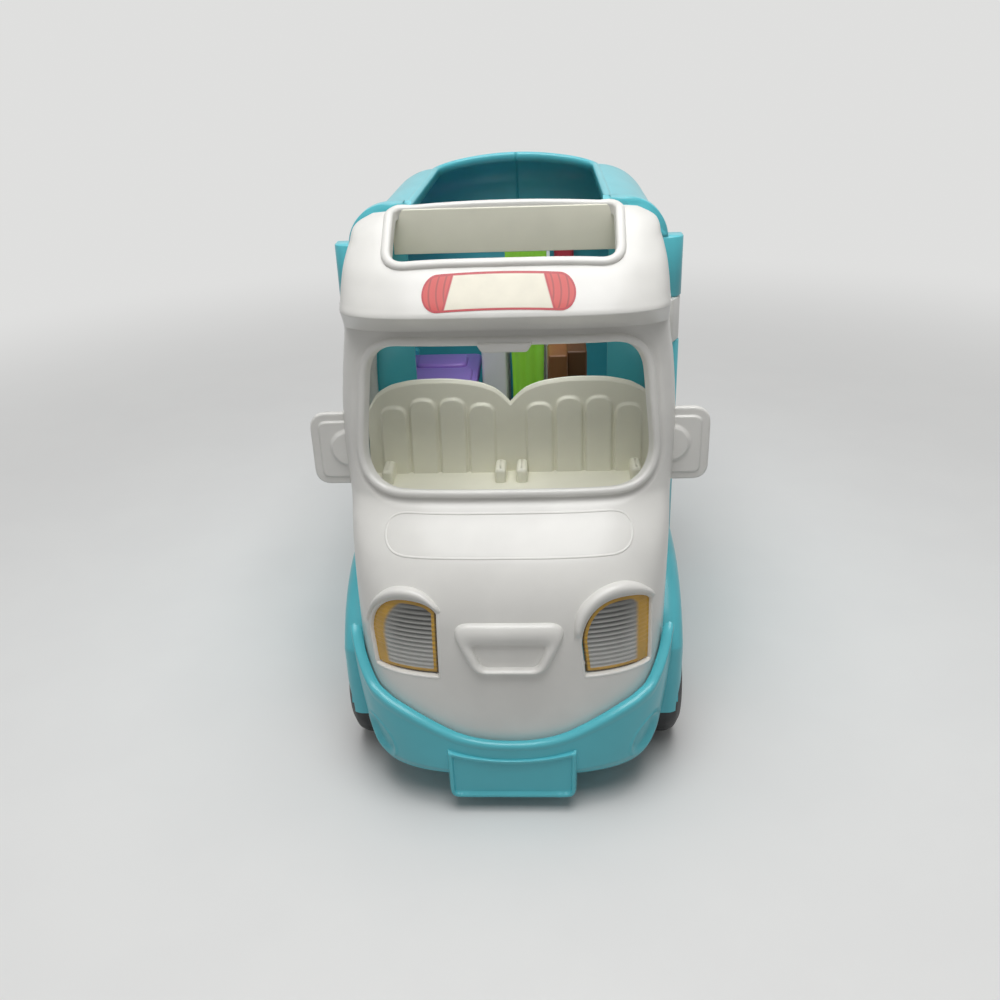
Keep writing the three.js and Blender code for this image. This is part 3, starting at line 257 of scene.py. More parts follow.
def ring_piece(name, path, normal, profile, finish, body, closed=True):
    """A bead: a closed profile of (across, up) points carried along a path on a surface.

    The path runs counter-clockwise, seen against the normals. Up runs along them, and across runs outwards.
    """
    normal = np.broadcast_to(normal, path.shape)
    ahead = np.roll(path, -1, 0) - np.roll(path, 1, 0) if closed else np.gradient(path, axis=0)
    outward = np.cross(ahead, normal)
    outward = outward / np.linalg.norm(outward, axis=1, keepdims=True)
    across, up = np.array(profile, float).T[..., None, None]
    grid = path[None] + across * outward[None] + up * normal[None]
    grid = np.concatenate([grid, grid[:1]])
    if closed:
        mesh_piece(name, grid, finish, body, closed=True)
    else:
        mesh_piece(name, grid.swapaxes(0, 1)[:, :-1], finish, body, closed=True, flip=True, ends=True)


def round_profile(width, height, depth, count=14):
    """A bead's section: a half ellipse of the width and height on top, and straight sides down to depth."""
    a = np.linspace(0, math.pi, count)
    top = np.stack([width / 2 - width / 2 * np.cos(a), height * np.sin(a) ** 0.8], 1)
    return np.vstack([[(0, -depth)], top, [(width, -depth)]])


def band(name, outer, inner, height, surface, finish, body, closed=True):
    """A moulded band between two outlines on a surface: a rounded section stands on the lines that join them."""
    t = np.linspace(0, 1, 17)
    rise = np.concatenate([[-0.6], np.sin(math.pi * t) ** 0.55, [-0.6]])
    t = np.concatenate([[0], t, [1]])
    place = outer[None] * (1 - t)[:, None, None] + inner[None] * t[:, None, None]
    flat, normal = surface(place.reshape(-1, 2))
    lift = np.where(rise[:, None] < 0, rise[:, None], rise[:, None] * height)
    grid = (flat + normal * np.broadcast_to(lift, place.shape[:2]).reshape(-1, 1)).reshape(*place.shape[:2], 3)
    mesh_piece(name, grid, finish, body, closed=closed)


def block(x0, y0, z0, x1, y1, z1, corner, edge, count=6):
    """A box with rounded corners and edges: a rounded outline lifted along z, drawn in by a quarter circle at
    each end."""
    a = np.linspace(0, math.pi / 2, count)
    inset = np.concatenate([edge * (1 - np.sin(a)), edge * (1 - np.cos(a))])
    height = np.concatenate([z0 + edge * (1 - np.cos(a)), z1 - edge * (1 - np.sin(a))])
    rings = [rounded_rect(x0 + i, y0 + i, x1 - i, y1 - i, max(corner - i * 0.5, 0.3), 5) for i in inset]
    return np.stack([np.column_stack([ring, np.full(len(ring), z)]) for ring, z in zip(rings, height)])


def lifted(plan, low, high, draw):
    """A plan lifted between two levels, drawn in a little at both by the share draw."""
    centre = plan.mean(0)
    levels = [(low, draw), (low + 0.4, 1.0), (high - 0.4, 1.0), (high, draw)]
    return np.stack([np.column_stack([centre + (plan - centre) * k, np.full(len(plan), z)]) for z, k in levels])


def lathe_x(profile, count=64):
    """A profile of (radius, x) points turned about the X axis."""
    p = np.array(profile, float)
    a = np.linspace(0, 2 * math.pi, count, endpoint=False)
    return np.stack([np.repeat(p[:, 1:2], count, 1), p[:, :1] * np.cos(a), p[:, :1] * np.sin(a)], 2)


def dense(profile, radius=0.5, count=4):
    """A profile with each corner rounded a little."""
    p = [np.array(q, float) for q in profile]
    out = [p[0]]
    for before, here, after in zip(p[:-2], p[1:-1], p[2:]):
        ra = min(radius, np.linalg.norm(before - here) * 0.45)
        rb = min(radius, np.linalg.norm(after - here) * 0.45)
        start = here + (before - here) / np.linalg.norm(before - here) * ra
        end = here + (after - here) / np.linalg.norm(after - here) * rb
        out.extend(bezier([start, here, end], count))
        out.append(end)
    out.append(p[-1])
    return np.array(out)


# Materials

class Value:
    """A shader socket that can be used in sums and products."""

    def __init__(self, maker, socket):
        self.maker = maker
        self.socket = socket

    def math(self, operation, other, turned=False):
        first, second = (other, self) if turned else (self, other)
        return self.maker.node("ShaderNodeMath", {"operation": operation}, [first, second])

    def __add__(self, other):
        return self.math("ADD", other)

    def __radd__(self, other):
        return self.math("ADD", other, True)

    def __sub__(self, other):
        return self.math("SUBTRACT", other)

    def __rsub__(self, other):
        return self.math("SUBTRACT", other, True)

    def __mul__(self, other):
        return self.math("MULTIPLY", other)

    def of(self, operation):
        """A function of this value alone."""
        return self.maker.node("ShaderNodeMath", {"operation": operation}, [self])

    def ramp(self, low, high):
        """0 below low, 1 above high and smooth between."""
        return self.maker.node(
            "ShaderNodeMapRange", {"interpolation_type": "SMOOTHSTEP"},
            {"Value": self, "From Min": low, "From Max": high, "To Min": 0.0, "To Max": 1.0})


class Maker:
    """A new material, or the world, and the nodes added to it."""

    def __init__(self, name, owner=None):
        self.owner = owner or bpy.data.materials.new(name)
        self.owner.use_nodes = True
        self.tree = self.owner.node_tree
        self.shader = self.tree.nodes["Background" if owner else "Principled BSDF"]

    def node(self, kind, settings=None, inputs=None, output=0):
        made = self.tree.nodes.new(kind)
        for key, value in (settings or {}).items():
            setattr(made, key, value)
        pairs = enumerate(inputs) if isinstance(inputs, list) else (inputs or {}).items()
        for key, value in pairs:
            self.feed(made.inputs[key], value)
        return Value(self, made.outputs[output])

    def feed(self, socket, value):
        if isinstance(value, Value):
            self.tree.links.new(value.socket, socket)
        else:
            socket.default_value = value

    def place(self):
        """Object coordinates in millimetres."""
        point = self.node("ShaderNodeTexCoord", output="Object")
        return self.node("ShaderNodeVectorMath", {"operation": "SCALE"}, {0: point, "Scale": 1000.0})

    def noise(self, place, size, detail=3.0, stretch=None):
        """Noise between 0 and 1 whose features are about size millimetres wide."""
        if stretch:
            place = self.node("ShaderNodeVectorMath", {"operation": "MULTIPLY"}, [place, stretch])
        return self.node("ShaderNodeTexNoise", None,
                         {"Vector": place, "Scale": 1.0 / size, "Detail": detail, "Roughness": 0.55})

    def mix(self, share, first, second):
        """A colour between two colours."""
        return self.node("ShaderNodeMix", {"data_type": "RGBA"}, {0: share, 6: first, 7: second}, output=2)

    def attribute(self, name):
        return self.node("ShaderNodeAttribute", {"attribute_name": name}, output="Fac")

    def bump(self, height, strength, distance=0.0002):
        return self.node("ShaderNodeBump", None, {"Height": height, "Strength": strength, "Distance": distance})

    def set(self, **sockets):
        for key, value in sockets.items():
            self.feed(self.shader.inputs[key.replace("_", " ")], value)
        return self.owner

    def seen(self):
        """1 on rays from the camera and on those that a gloss or a clear part passes on to it, and 0 on the rest."""
        camera, glossy, through = (self.node("ShaderNodeLightPath", output=f"Is {kind} Ray")
                                   for kind in ("Camera", "Glossy", "Transmission"))
        return camera.math("MAXIMUM", glossy).math("MAXIMUM", through)


def shaded(colour, share=1.0):
    """A share of a colour, with a full last channel."""
    return tuple(c * share for c in colour[:3]) + (1.0,)


def moulded(name, colour, roughness, grain=0.05, coat=0.0, shade=0.93):
    """Injection-moulded plastic: faint flow clouds in the colour, a fine skin texture and uneven gloss."""
    m = Maker(name)
    p = m.place()
    cloud = m.noise(p, 34.0)
    skin = m.noise(p, 0.45, 2.0)
    tint = m.mix(cloud.ramp(0.35, 0.7), shaded(colour, shade), shaded(colour))
    smear = m.noise(p, 9.0, 4.0)
    rough = roughness + (smear - 0.5) * 0.08 + (skin - 0.5) * 0.05
    normal = m.bump(skin, grain)
    return m.set(Base_Color=tint, Roughness=rough, Coat_Weight=coat, Normal=normal)


def lens_finish(name, amber):
    """A lens: grey that darkens towards its top, with printed dark lines that fade downwards, in a printed amber
    border that widens at the outer side. A dark line round its edge, but not at the outer side, is painted shade
    from the pocket's wall.
    """
    m = Maker(name)
    p = m.place()
    z = m.node("ShaderNodeSeparateXYZ", None, [p], output="Z")
    wave = ((z - LENS_LOW) * (2 * math.pi / LENS_RIB)).of("SINE")
    outer, edge = m.attribute("outer"), m.attribute("edge")
    line = wave.ramp(-0.1, 0.7) * (z.ramp(60.0, 82.0) * 0.88 + 0.06) * (outer.ramp(4.5, 12.0) * 0.8 + 0.2)
    grey = m.mix(z.ramp(66.0, 90.0), (0.46, 0.46, 0.44, 1), (0.20, 0.20, 0.185, 1))
    lined = m.mix(line, grey, (0.022, 0.023, 0.02, 1))
    glow = m.mix(m.noise(p, 6.0).ramp(0.3, 0.75), shaded(amber, 0.8), shaded(amber))
    strip = 1.0 - outer.ramp(4.4, 6.4)
    border = 1.0 - edge.ramp(1.7, 2.0)
    colour = m.mix(strip.math("MAXIMUM", border), lined, glow)
    # painted shade: a dark line round the lens's edge, kept off the outer strip, stands for the pocket wall's shadow
    colour = m.mix((1.0 - edge.ramp(0.55, 0.9)) * outer.ramp(3.0, 7.0) * 0.85, colour, (0.075, 0.05, 0.012, 1))
    return m.set(Base_Color=colour, Roughness=0.26 + line * 0.2, Coat_Weight=0.4,
                 Normal=m.bump(wave * outer.ramp(4.5, 7.0), 0.35, 0.0003))


def sticker_finish(name, coral, cream, outline):
    """A printed window: coral curtains with folds at both ends, a cream pane and a darker red outline."""
    m = Maker(name)
    u, v = m.attribute("across"), m.attribute("upwards")
    away = u.of("ABSOLUTE")
    hem = away + v * 0.065
    curtain = hem.ramp(0.655, 0.665)
    folds = ((away + v * v * 0.05) * 64.0).of("SINE")
    cloth = m.mix(folds.ramp(0.55, 0.95), shaded(coral), shaded(coral, 0.62))
    pane = m.mix(m.noise(m.place(), 8.0).ramp(0.3, 0.7), shaded(cream), shaded(cream, 0.94))
    inner = m.mix(curtain, pane, cloth)
    seam = hem.ramp(0.635, 0.655) * (1.0 - hem.ramp(0.665, 0.685))
    edge = 1.0 - m.attribute("edge").ramp(0.55, 0.8)
    drawn = m.mix(seam.math("MAXIMUM", edge), inner, shaded(outline))
    return m.set(Base_Color=drawn, Roughness=0.34)


def steel_finish(name):
    """Drawn steel rod: fine lines along the rod and uneven gloss."""
    m = Maker(name)
    p = m.place()
    lines = m.noise(p, 0.35, 2.0, (0.05, 1.0, 1.0))
    return m.set(Base_Color=(0.62, 0.63, 0.65, 1), Metallic=1.0, Roughness=0.26 + lines * 0.2,
                 Normal=m.bump(lines, 0.2))


# Settings

def length_prop(name, description, default):
    """A length in metres."""
    return bpy.props.FloatProperty(
        name=name, description=description, default=default, min=0.0, precision=5, unit="LENGTH")


def colour_prop(name, description, default):
    return bpy.props.FloatVectorProperty(
        name=name, description=description, default=default, size=4, subtype="COLOR", min=0.0, max=1.0)


class CamperSizes(bpy.types.PropertyGroup):
    """Sizes of the moulded details."""

    wall: length_prop("Wall", "Thickness of the moulded walls", 0.0024)
    bead_width: length_prop("Bead width", "Width of the bead round the windscreen", 0.0032)
    bead_height: length_prop("Bead height", "Height of the bead round the windscreen", 0.0019)
    brow_height: length_prop("Brow height", "Height of the brows above the headlights", 0.0029)
    grille_height: length_prop("Grille height", "Height of the grille's moulded ring", 0.0026)
    rim_width: length_prop("Roof rim width", "Width of the rim round the roof opening", 0.0038)
    rim_height: length_prop("Roof rim height", "Height of the rim round the roof opening", 0.0018)

    def mm(self, key):
        """A size in millimetres."""
        return getattr(self, key) * 1000


class CamperColours(bpy.types.PropertyGroup):
    """Colours of the plastics."""

    white: colour_prop("White", "Cab, cap, mirrors and hubcaps", (0.83, 0.82, 0.785, 1))
    cream: colour_prop("Cream", "Seats and the cap's inside wall", (0.90, 0.89, 0.755, 1))
    teal: colour_prop("Teal", "Body halves, bumper and chassis", (0.10, 0.565, 0.655, 1))
    black: colour_prop("Black", "Wheels", (0.012, 0.013, 0.015, 1))
    purple: colour_prop("Purple", "Bunk", (0.33, 0.19, 0.60, 1))
    lime: colour_prop("Lime", "Curtain", (0.42, 0.93, 0.08, 1))
    brown: colour_prop("Brown", "Kitchen unit", (0.27, 0.105, 0.03, 1))
    red: colour_prop("Red", "Cupboard", (0.66, 0.06, 0.085, 1))
    amber: colour_prop("Amber", "Headlight edges", (0.66, 0.37, 0.03, 1))
    coral: colour_prop("Coral", "Printed curtains", (0.60, 0.052, 0.045, 1))


PLASTICS = {
    # name: the colour's setting and share, roughness and what differs from the usual plastic
    "white": ("white", 1.0, 0.30, {"coat": 0.15}),
    "cream": ("cream", 1.0, 0.42, {}),
    "teal": ("teal", 1.0, 0.30, {"coat": 0.12}),
    "black": ("black", 1.0, 0.5, {"grain": 0.3}),
    "purple": ("purple", 1.0, 0.34, {}),
    "lime": ("lime", 1.0, 0.36, {}),
    "brown": ("brown", 1.0, 0.45, {"shade": 0.8}),
    # half the brown: painted shade on the kitchen's recessed tall part and its counter; the kitchen's knobs use it
    # too
    "dark brown": ("brown", 0.5, 0.45, {"shade": 0.8}),
    "red": ("red", 1.0, 0.36, {}),
}
PANE = (0.80, 0.76, 0.63, 1)
PRINTED_LINE = (0.47, 0.02, 0.032, 1)
FINISHES = {}


def new_finish(name):
    """A new material for the finish of that name."""
    colours = bpy.context.scene.camper_colours
    if name in PLASTICS:
        key, share, roughness, differs = PLASTICS[name]
        return moulded(name + " plastic", shaded(getattr(colours, key), share), roughness, **differs)
    if name == "lens":
        return lens_finish("printed lens", colours.amber)
    if name == "sticker":
        return sticker_finish("printed window", colours.coral, PANE, PRINTED_LINE)
    if name == "steel":
        return steel_finish("drawn steel")
    raise KeyError(name)


def slot_of(finish):
    """The slot of a finish: its colour without a shade before it."""
    return finish.split()[-1]


def finish_of(name):
    """The finish of that name, made once."""
    if name not in FINISHES:
        FINISHES[name] = new_finish(name)
    return FINISHES[name]


# Cab

def across_front(a, power):
    """How far across a superellipse's front a point at the angle a lies, from -1 to 1."""
    return -np.sign(np.cos(a)) * np.abs(np.cos(a)) ** (2 / power)


def even_turns(power, spacing, bend=40.0, half=64.5):
    """Angles round a superellipse's front at which its points lie at even steps."""
    a = np.linspace(0, math.pi, 6000)
    s = lengths_of(np.stack([across_front(a, power) * half, -np.sin(a) ** (2 / power) * bend], 1))
    return np.interp(np.linspace(0, s[-1], int(s[-1] / spacing)), s, a)


def form_grid(form, power, z, rear, spacing, sides, grow=0.0):
    """A form's skin: at each height, a straight side, a superellipse front and the other side, as one row."""
    nose, bend, half = (v[:, None] for v in form_at(form, z))
    a = even_turns(power, spacing)[None]
    width = half + grow
    y = nose + bend - (bend + grow) * np.sin(a) ** (2 / power)
    side_y = rear + (nose + bend - rear) * np.linspace(0, 1, sides, endpoint=False)[None]
    flat = np.ones_like(side_y)
    x = np.concatenate([-width * flat, across_front(a, power) * width, width * flat], 1)
    y = np.concatenate([side_y, y, side_y[:, ::-1]], 1)
    return np.stack([x, y, np.repeat(z[:, None], x.shape[1], 1)], 2)


def front_of(form, power, x, z):
    """How far back a form's front lies at a place seen from the front: its nose and a superellipse's fall."""
    nose, bend, half = form_at(form, z)
    share = np.clip(np.abs(x) / half, 0, 1)
    return nose + bend - bend * (1 - share ** power) ** (1 / power)


def cab_front(x, z):
    """How far back the cab's front lies at a place seen from the front."""
    return front_of(CAB_FORM, CAB_POWER, x, z)


def on_cab(outline):
    """Points and outward normals on the cab's front for an outline seen from the front."""
    x, z = outline[:, 0], outline[:, 1]
    e = 0.2
    slope_x = (cab_front(x + e, z) - cab_front(x - e, z)) / (2 * e)
    slope_z = (cab_front(x, z + e) - cab_front(x, z - e)) / (2 * e)
    n = np.stack([slope_x, -np.ones_like(x), slope_z], 1)
    return np.stack([x, cab_front(x, z), z], 1), n / np.linalg.norm(n, axis=1, keepdims=True)


def screen_outline():
    """The windscreen's outline, seen from the front."""
    return rounded([(-56.6, 122.8, 17), (56.6, 122.8, 17), (51.2, 177.0, 12), (-51.2, 177.0, 12)], 14)


LAMP_X = 40.4


def lamp_outline(x, shrink=0.0):
    """A lamp's outline: square at its lower corners and upper right, swept down at its upper left."""
    left, right, low, top = x - 13.4 + shrink, x + 13.5 - shrink, 60.6 + shrink, 90.2 - shrink
    return np.vstack([
        bezier([(left + 1.5, low), (right, low)], 8),
        bezier([(right, low), (right, 86.2 - shrink)], 8),
        bezier([(right, 86.2 - shrink), (right - 3, top), (x + 2, top)], 10),
        bezier([(x + 2, top), (x - 7, top), (left, top - 6), (left, 74)], 14),
        bezier([(left, 74), (left + 1.5, low)], 6),
    ])


def brow_curve(x):
    """The line along a lamp's top from its inner side over to its outer side, and the directions away from it."""
    left, right, top = x - 13.7, x + 13.8, 90.6
    line = np.vstack([
        bezier([(right, 86.2), (right - 3, top), (x + 2, top)], 30),
        bezier([(x + 2, top), (x - 7, top), (left, top - 6), (left, 75)], 50)])
    ahead = np.gradient(line, axis=0)
    away = np.stack([ahead[:, 1], -ahead[:, 0]], 1)
    return line, away / np.linalg.norm(away, axis=1, keepdims=True)


def grille_outline(inner):
    """The grille ring's outer or inner outline, with points that lie opposite each other."""
    if inner:
        corners = [(-10.2, 65.4, 2.6), (10.2, 65.4, 2.6), (14.4, 74.6, 3.4), (-14.4, 74.6, 3.4)]
    else:
        corners = [(-13.4, 62.7, 5.0), (13.4, 62.7, 5.0), (23.0, 83.3, 9.0), (-23.0, 83.3, 9.0)]
    outline = rounded(corners, 12)
    spread = np.linspace(0, 1, 5, endpoint=False)[:, None]
    parts = np.split(outline, 4)
    links = [a[-1] * (1 - spread[1:]) + b[0] * spread[1:] for a, b in zip(parts, parts[1:] + parts[:1])]
    return np.vstack([np.vstack(pair) for pair in zip(parts, links)])


def door_outline():
    """A cab door window's outline, seen from the side."""
    return rounded_rect(72, 126, 97, 170, 7)


class CAMPER_OT_cab(bpy.types.Operator):
    """Make the cab's moulded shell with its bead, brows, grille, lamp pockets, hood panel and hinge lugs."""

    bl_idname = "camper.cab"
    bl_label = "Cab shell"

    def execute(self, context):
        """The skin is the cab's form, sunk along its normals inside the grille and round the screen.

        The lining is the same form drawn in by the wall, and beads follow the edges of the openings.
        """
        sizes = context.scene.camper_sizes
        wall = sizes.mm("wall")
        z = np.linspace(CAB_LOW, CAB_TOP, 186)
        grid = form_grid(CAB_FORM, CAB_POWER, z, CAB_REAR, 0.86, 34)
        x, y, h = np.moveaxis(grid, -1, 0)
        sink = 0.6 * (1 - step(-1.2, 0.6, signed_distance(x, h, grille_outline(True))))
        sink += 0.55 * bump(signed_distance(x, h, screen_outline()), 3.4, 4.6, 1.2)
        grid = grid - normals_of(grid) * np.where(y < 70, sink, 0)[..., None]
        hole = self.openings(grid, 70, 55, 45, screen=1.0, door=0.6, arch=33.2, lamp=0.5)
        mesh_piece("cab_skin", grid, "white", "cab", ["cab_shell"], keep=~hole)
        # The hood leans back, so its panel is rounded on a plan stretched upwards
        steep = 1.62
        panel = rounded_rect(-46.5, 103.9 * steep, 46.5, 114.9 * steep, 8.85, 14) / (1, steep)
        path, normal = on_cab(evened(panel, 0.8))
        ring_piece("hood_panel_line", path, normal, round_profile(0.9, 0.24, 0.5), "white", "cab")
        band("grille_ring", grille_outline(False), grille_outline(True), sizes.mm("grille_height"), on_cab, "white",
             "cab")

        inner = form_grid(CAB_FORM, CAB_POWER, np.linspace(CAB_LOW, CAB_TOP, 150), CAB_REAR, 1.2, 50, grow=-wall)
        hole = self.openings(inner, 75, 50, 42, screen=1.8, door=1.4, arch=33.6, lamp=0.8)
        mesh_piece("cab_lining", inner, "white", "cab", keep=~hole, flip=True)

        path, normal = on_cab(evened(screen_outline(), 1.2))
        profile = round_profile(sizes.mm("bead_width"), sizes.mm("bead_height"), wall + 0.4)
        ring_piece("windscreen_bead", path, normal, profile, "white", "cab")
        for side, name in SIDES:
            edge = evened(door_outline(), 1.2)
            half = form_at(CAB_FORM, edge[:, 1])[2]
            path = mirrored(np.stack([half, edge[:, 0], edge[:, 1]], 1), side)
            ring_piece("door_window_edge_" + name, path[::side], (side, 0, 0), round_profile(2.2, 0.7, wall + 0.3),
                       "white", "cab")
            self.rear_flange(name, side)
            hinge_lug("hinge_lug_" + name, side, 160.5, 178.8, "white")
            self.lamp_pocket(name, side * LAMP_X, sizes.mm("brow_height"))
        tab = block(-10.5, 47.4, 174.9, 10.5, 50.2, 178.4, 1.2, 0.9)
        taper = (178.4 - tab[..., 2]) / 3.5
        tab[..., 0] *= 1 - 0.2 * np.clip(taper, 0, 1)
        solid_piece("windscreen_tab", tab, "white", "cab")
        return {"FINISHED"}

    def openings(self, grid, front, outside, under, screen, door, arch, lamp):
        """The cells that the screen, doors, wheel arches and lamps cut out of a skin.

        front, outside and under limit them to the skin's front, sides and lower sides. screen, door and lamp say how
        far each goes past its outline, and arch is a radius.
        """
        x, y, z = cells(grid)
        hole = (y < front) & (signed_distance(x, z, screen_outline()) < screen)
        hole |= (np.abs(x) > outside) & (signed_distance(y, z, door_outline()) < door)
        hole |= (np.abs(x) > under) & (np.hypot(y - FRONT_WHEEL_Y, z - WHEEL_Z) < arch)
        for side in (-1, 1):
            hole |= (y < front) & (signed_distance(x, z, lamp_outline(side * LAMP_X)) < lamp)
        return hole

    def lamp_pocket(self, name, middle, height):
        """A lamp's pocket: a lip and wall carried round its outline, with a brow over its top."""
        path, normal = on_cab(evened(lamp_outline(middle), 0.5))
        lip = [(-0.15, -3.4), (-0.15, -0.35), (0.05, 0.02), (0.45, 0.12), (0.95, 0.05), (1.3, -0.3), (1.3, -3.4)]
        ring_piece("lamp_pocket_" + name, path, normal, lip, "white", "cab")
        line, away = brow_curve(middle)
        k = np.linspace(0, 1, len(line))
        if middle > 0:
            width = 4.9
            swell = (0.28 + 0.72 * step(0.0, 0.42, k)) * (1 - 0.45 * step(0.7, 1.0, k))
        else:
            width = 4.1
            swell = (0.42 + 0.58 * step(0.0, 0.35, k)) * (1 - 0.78 * step(0.42, 0.9, k))
        outer = line + away * (width * swell)[:, None]
        rise = height * np.sqrt(swell) * step(-0.02, 0.09, k) * (1 - step(0.9, 1.0, k))
        band("lamp_brow_" + name, outer, line, rise[None], on_cab, "white", "cab", closed=False)

    def rear_flange(self, name, side):
        """The shell's rear edge turned inwards: a section of edge and lip carried up the side."""
        z = np.linspace(CAB_LOW, CAB_TOP, 60)
        half = form_at(CAB_FORM, z)[2]
        x = np.stack([half, half, half - 0.5, half - 6.8, half - 7.4, half - 7.4, half - 2.4], 0)
        y = np.array([101.6, 104.1, 104.6, 104.6, 104.1, 101.6, 101.6])[:, None] + np.zeros_like(z)
        grid = mirrored(np.stack([x, y, np.repeat(z[None], 7, 0)], 2), side)
        mesh_piece("cab_rear_edge_" + name, grid, "white", "cab", flip=side < 0)


def hinge_lug(name, side, low, high, finish):
    """A hinge lug: an arm with a round end, lifted between its two levels."""
    a = np.linspace(0, math.pi, 14)
    plan = np.vstack([[(57.6, 104.5), (57.6, 101.7), (67.3, 101.7), (70.9, 109.3)],
                      np.stack([PIN_X + 4.6 * np.cos(a), PIN_Y + 4.6 * np.sin(a)], 1), [(61.7, 104.6)]])
    solid_piece(name, lifted(evened(plan, 1.0), low, high, 0.97), finish, "cab", side=side)


# Over-cab cap

NOTCH_HALF = 38.5


def sunroof_outline():
    """The outline of the cap's opening, in plan."""
    return rounded([(-40.8, 56.6, 6), (40.8, 56.6, 6), (41.6, 86.4, 5), (-41.6, 86.4, 5)])


def crown_fall(x):
    """How far the cap's crown falls towards its sides."""
    return 1.4 * (x / 40) ** 2


def crowned(grid, rows):
    """A skin of the cap with rows added that draw its top edge in over the crown."""
    top = grid[-1]
    core = np.stack([top[:, 0] * 0.5, np.maximum(top[:, 1], 92.0), top[:, 2]], 1)
    share = np.linspace(0, 1, rows)[1:, None, None]
    return np.concatenate([grid, top[None] * (1 - share) + core[None] * share])


def cap_height(x, y):
    """Height of the cap's outer face above a place in plan, found on its form by halving steps."""
    low = np.full(x.shape, CAP_FORM[3, 0])
    high = np.full(x.shape, CAP_FORM[-1, 0])
    for _ in range(30):
        z = (low + high) / 2
        inside = (y > front_of(CAP_FORM, CAP_POWER, x, z)) & (np.abs(x) < form_at(CAP_FORM, z)[2])
        low = np.where(inside, z, low)
        high = np.where(inside, high, z)
    return (low + high) / 2


def on_cap(outline):
    """Points and outward normals on the cap's upper face for an outline in plan."""
    x, y = outline[:, 0], outline[:, 1]
    e = 0.6
    sx = (cap_height(x + e, y) - cap_height(x - e, y)) / (2 * e)
    sy = (cap_height(x, y + e) - cap_height(x, y - e)) / (2 * e)
    n = np.stack([-sx, -sy, np.ones_like(x)], 1)
    return np.stack([x, y, cap_height(x, y)], 1), n / np.linalg.norm(n, axis=1, keepdims=True)


class CAMPER_OT_cap(bpy.types.Operator):
    """Make the over-cab cap with its sunroof rim, rear wall, lining and printed window."""

    bl_idname = "camper.cap"
    bl_label = "Over-cab cap"

    def execute(self, context):
        """The skin and the lining are the cap's form and the same form drawn in by the wall.

        Both are drawn in over the crown, and strips join their lower and rear edges.
        """
        wall = context.scene.camper_sizes.mm("wall")
        rise = np.concatenate([np.linspace(182.4, 189.0, 14, endpoint=False),
                               np.linspace(189.0, 191, 16, endpoint=False), np.linspace(191, 222.6, 80)])
        outer = crowned(form_grid(CAP_FORM, CAP_POWER, rise, CAB_REAR, 1.05, 26), 14)
        self.skin("cap_skin", outer, "white", 1.2, ["roof_cap"], False, 221.2)
        rise = np.linspace(182.8, 220.4, 60)
        inner = crowned(form_grid(CAP_FORM, CAP_POWER, rise, CAB_REAR, 1.8, 14, grow=-wall), 8)
        self.skin("cap_lining", inner, "cream", 2.2, (), True, 219.0)

        path, normal = on_cap(evened(sunroof_outline(), 1.2))
        path[:, 2] = np.minimum(path[:, 2], 220.9 - crown_fall(path[:, 0]))
        ring_piece("sunroof_rim", path, normal, round_profile(3.6, 1.6, wall + 0.8), "white", "cab")
        back = block(-43.2, 85.8, 203.2, 43.2, 87.6, 221.7, 0.5, 0.4)
        back[..., 2] -= crown_fall(back[..., 0]) * step(204, 221, back[..., 2])
        solid_piece("cap_rear_wall", back, "cream", "cab")
        bottom = form_grid(CAP_FORM, CAP_POWER, np.array([182.4, 182.4]), CAB_REAR, 1.05, 26)
        bottom[1] = form_grid(CAP_FORM, CAP_POWER, np.array([182.6, 182.8]), CAB_REAR, 1.05, 26, grow=-wall)[1]
        mesh_piece("cap_lower_edge", bottom, "white", "cab", flip=True)
        for name, column in (("right", 0), ("left", -1)):
            edges = [edge[np.abs(edge[:, 0]) >= NOTCH_HALF] for edge in (outer[:, column], inner[:, column])]
            strip = np.stack([resampled(edge, 60) for edge in edges])
            inward = normals_of(strip)[..., 1].mean() < 0
            mesh_piece("cap_rear_edge_" + name, strip, "white", "cab", flip=bool(inward))
        self.sticker()
        return {"FINISHED"}

    def skin(self, name, grid, finish, clear, replaces, flip, crown):
        """A skin of the cap, without the cells of its sunroof and of the notch behind its rear wall.

        The grid itself is brought under the crown and falls towards the rear, since the rear edges use it too.
        """
        grid[..., 2] = np.minimum(grid[..., 2], crown - crown_fall(grid[..., 0]))
        grid[..., 2] -= 0.27 * np.maximum(grid[..., 1] - 87.5, 0) * step(203, 213, grid[..., 2])
        x, y, z = cells(grid)
        hole = signed_distance(x, y, sunroof_outline()) < clear
        hole |= (np.abs(x) < NOTCH_HALF) & (y > 88.0)
        hole &= z > 197
        mesh_piece(name, grid, finish, "cab", replaces, "white", keep=~hole, flip=flip)

    def sticker(self):
        """The printed window: a rounded patch that lies on the cap's face, with its places along and across it."""
        length, rise = 27.3, 5.6
        u, v = np.meshgrid(np.linspace(-1, 1, 120), np.sin(np.linspace(-math.pi / 2, math.pi / 2, 40)))
        across = u * (length - rise + rise * np.sqrt(np.maximum(1 - v * v, 1e-6)))
        x = across - 1.3
        z = 198.0 + rise * v - 0.9 * (across / length) ** 2
        grid = np.stack([x, front_of(CAP_FORM, CAP_POWER, x, z), z], 2)
        grid = grid + normals_of(grid) * 0.12
        edge = rise - np.hypot(np.maximum(np.abs(across) - (length - rise), 0), rise * v)
        mesh_piece("window_sticker", grid, "sticker", "cab", slot="white",
                   attributes={"across": across / length, "upwards": v, "edge": edge})


# Bumper

def smile_height(x):
    """The bumper's top line: level in the middle and rising to its ends."""
    return curve_through(np.clip(np.abs(x), 0, 64),
                         np.array([0, 7, 15, 22, 29, 36, 42, 50, 54.6, 57.2, 59.2, 60.3, 64.0]),
                         np.array([33.4, 33.7, 35.0, 37.1, 40.4, 44.0, 47.0, 50.7, 54.0, 59.2, 65.0, 69.6, 76.0]))


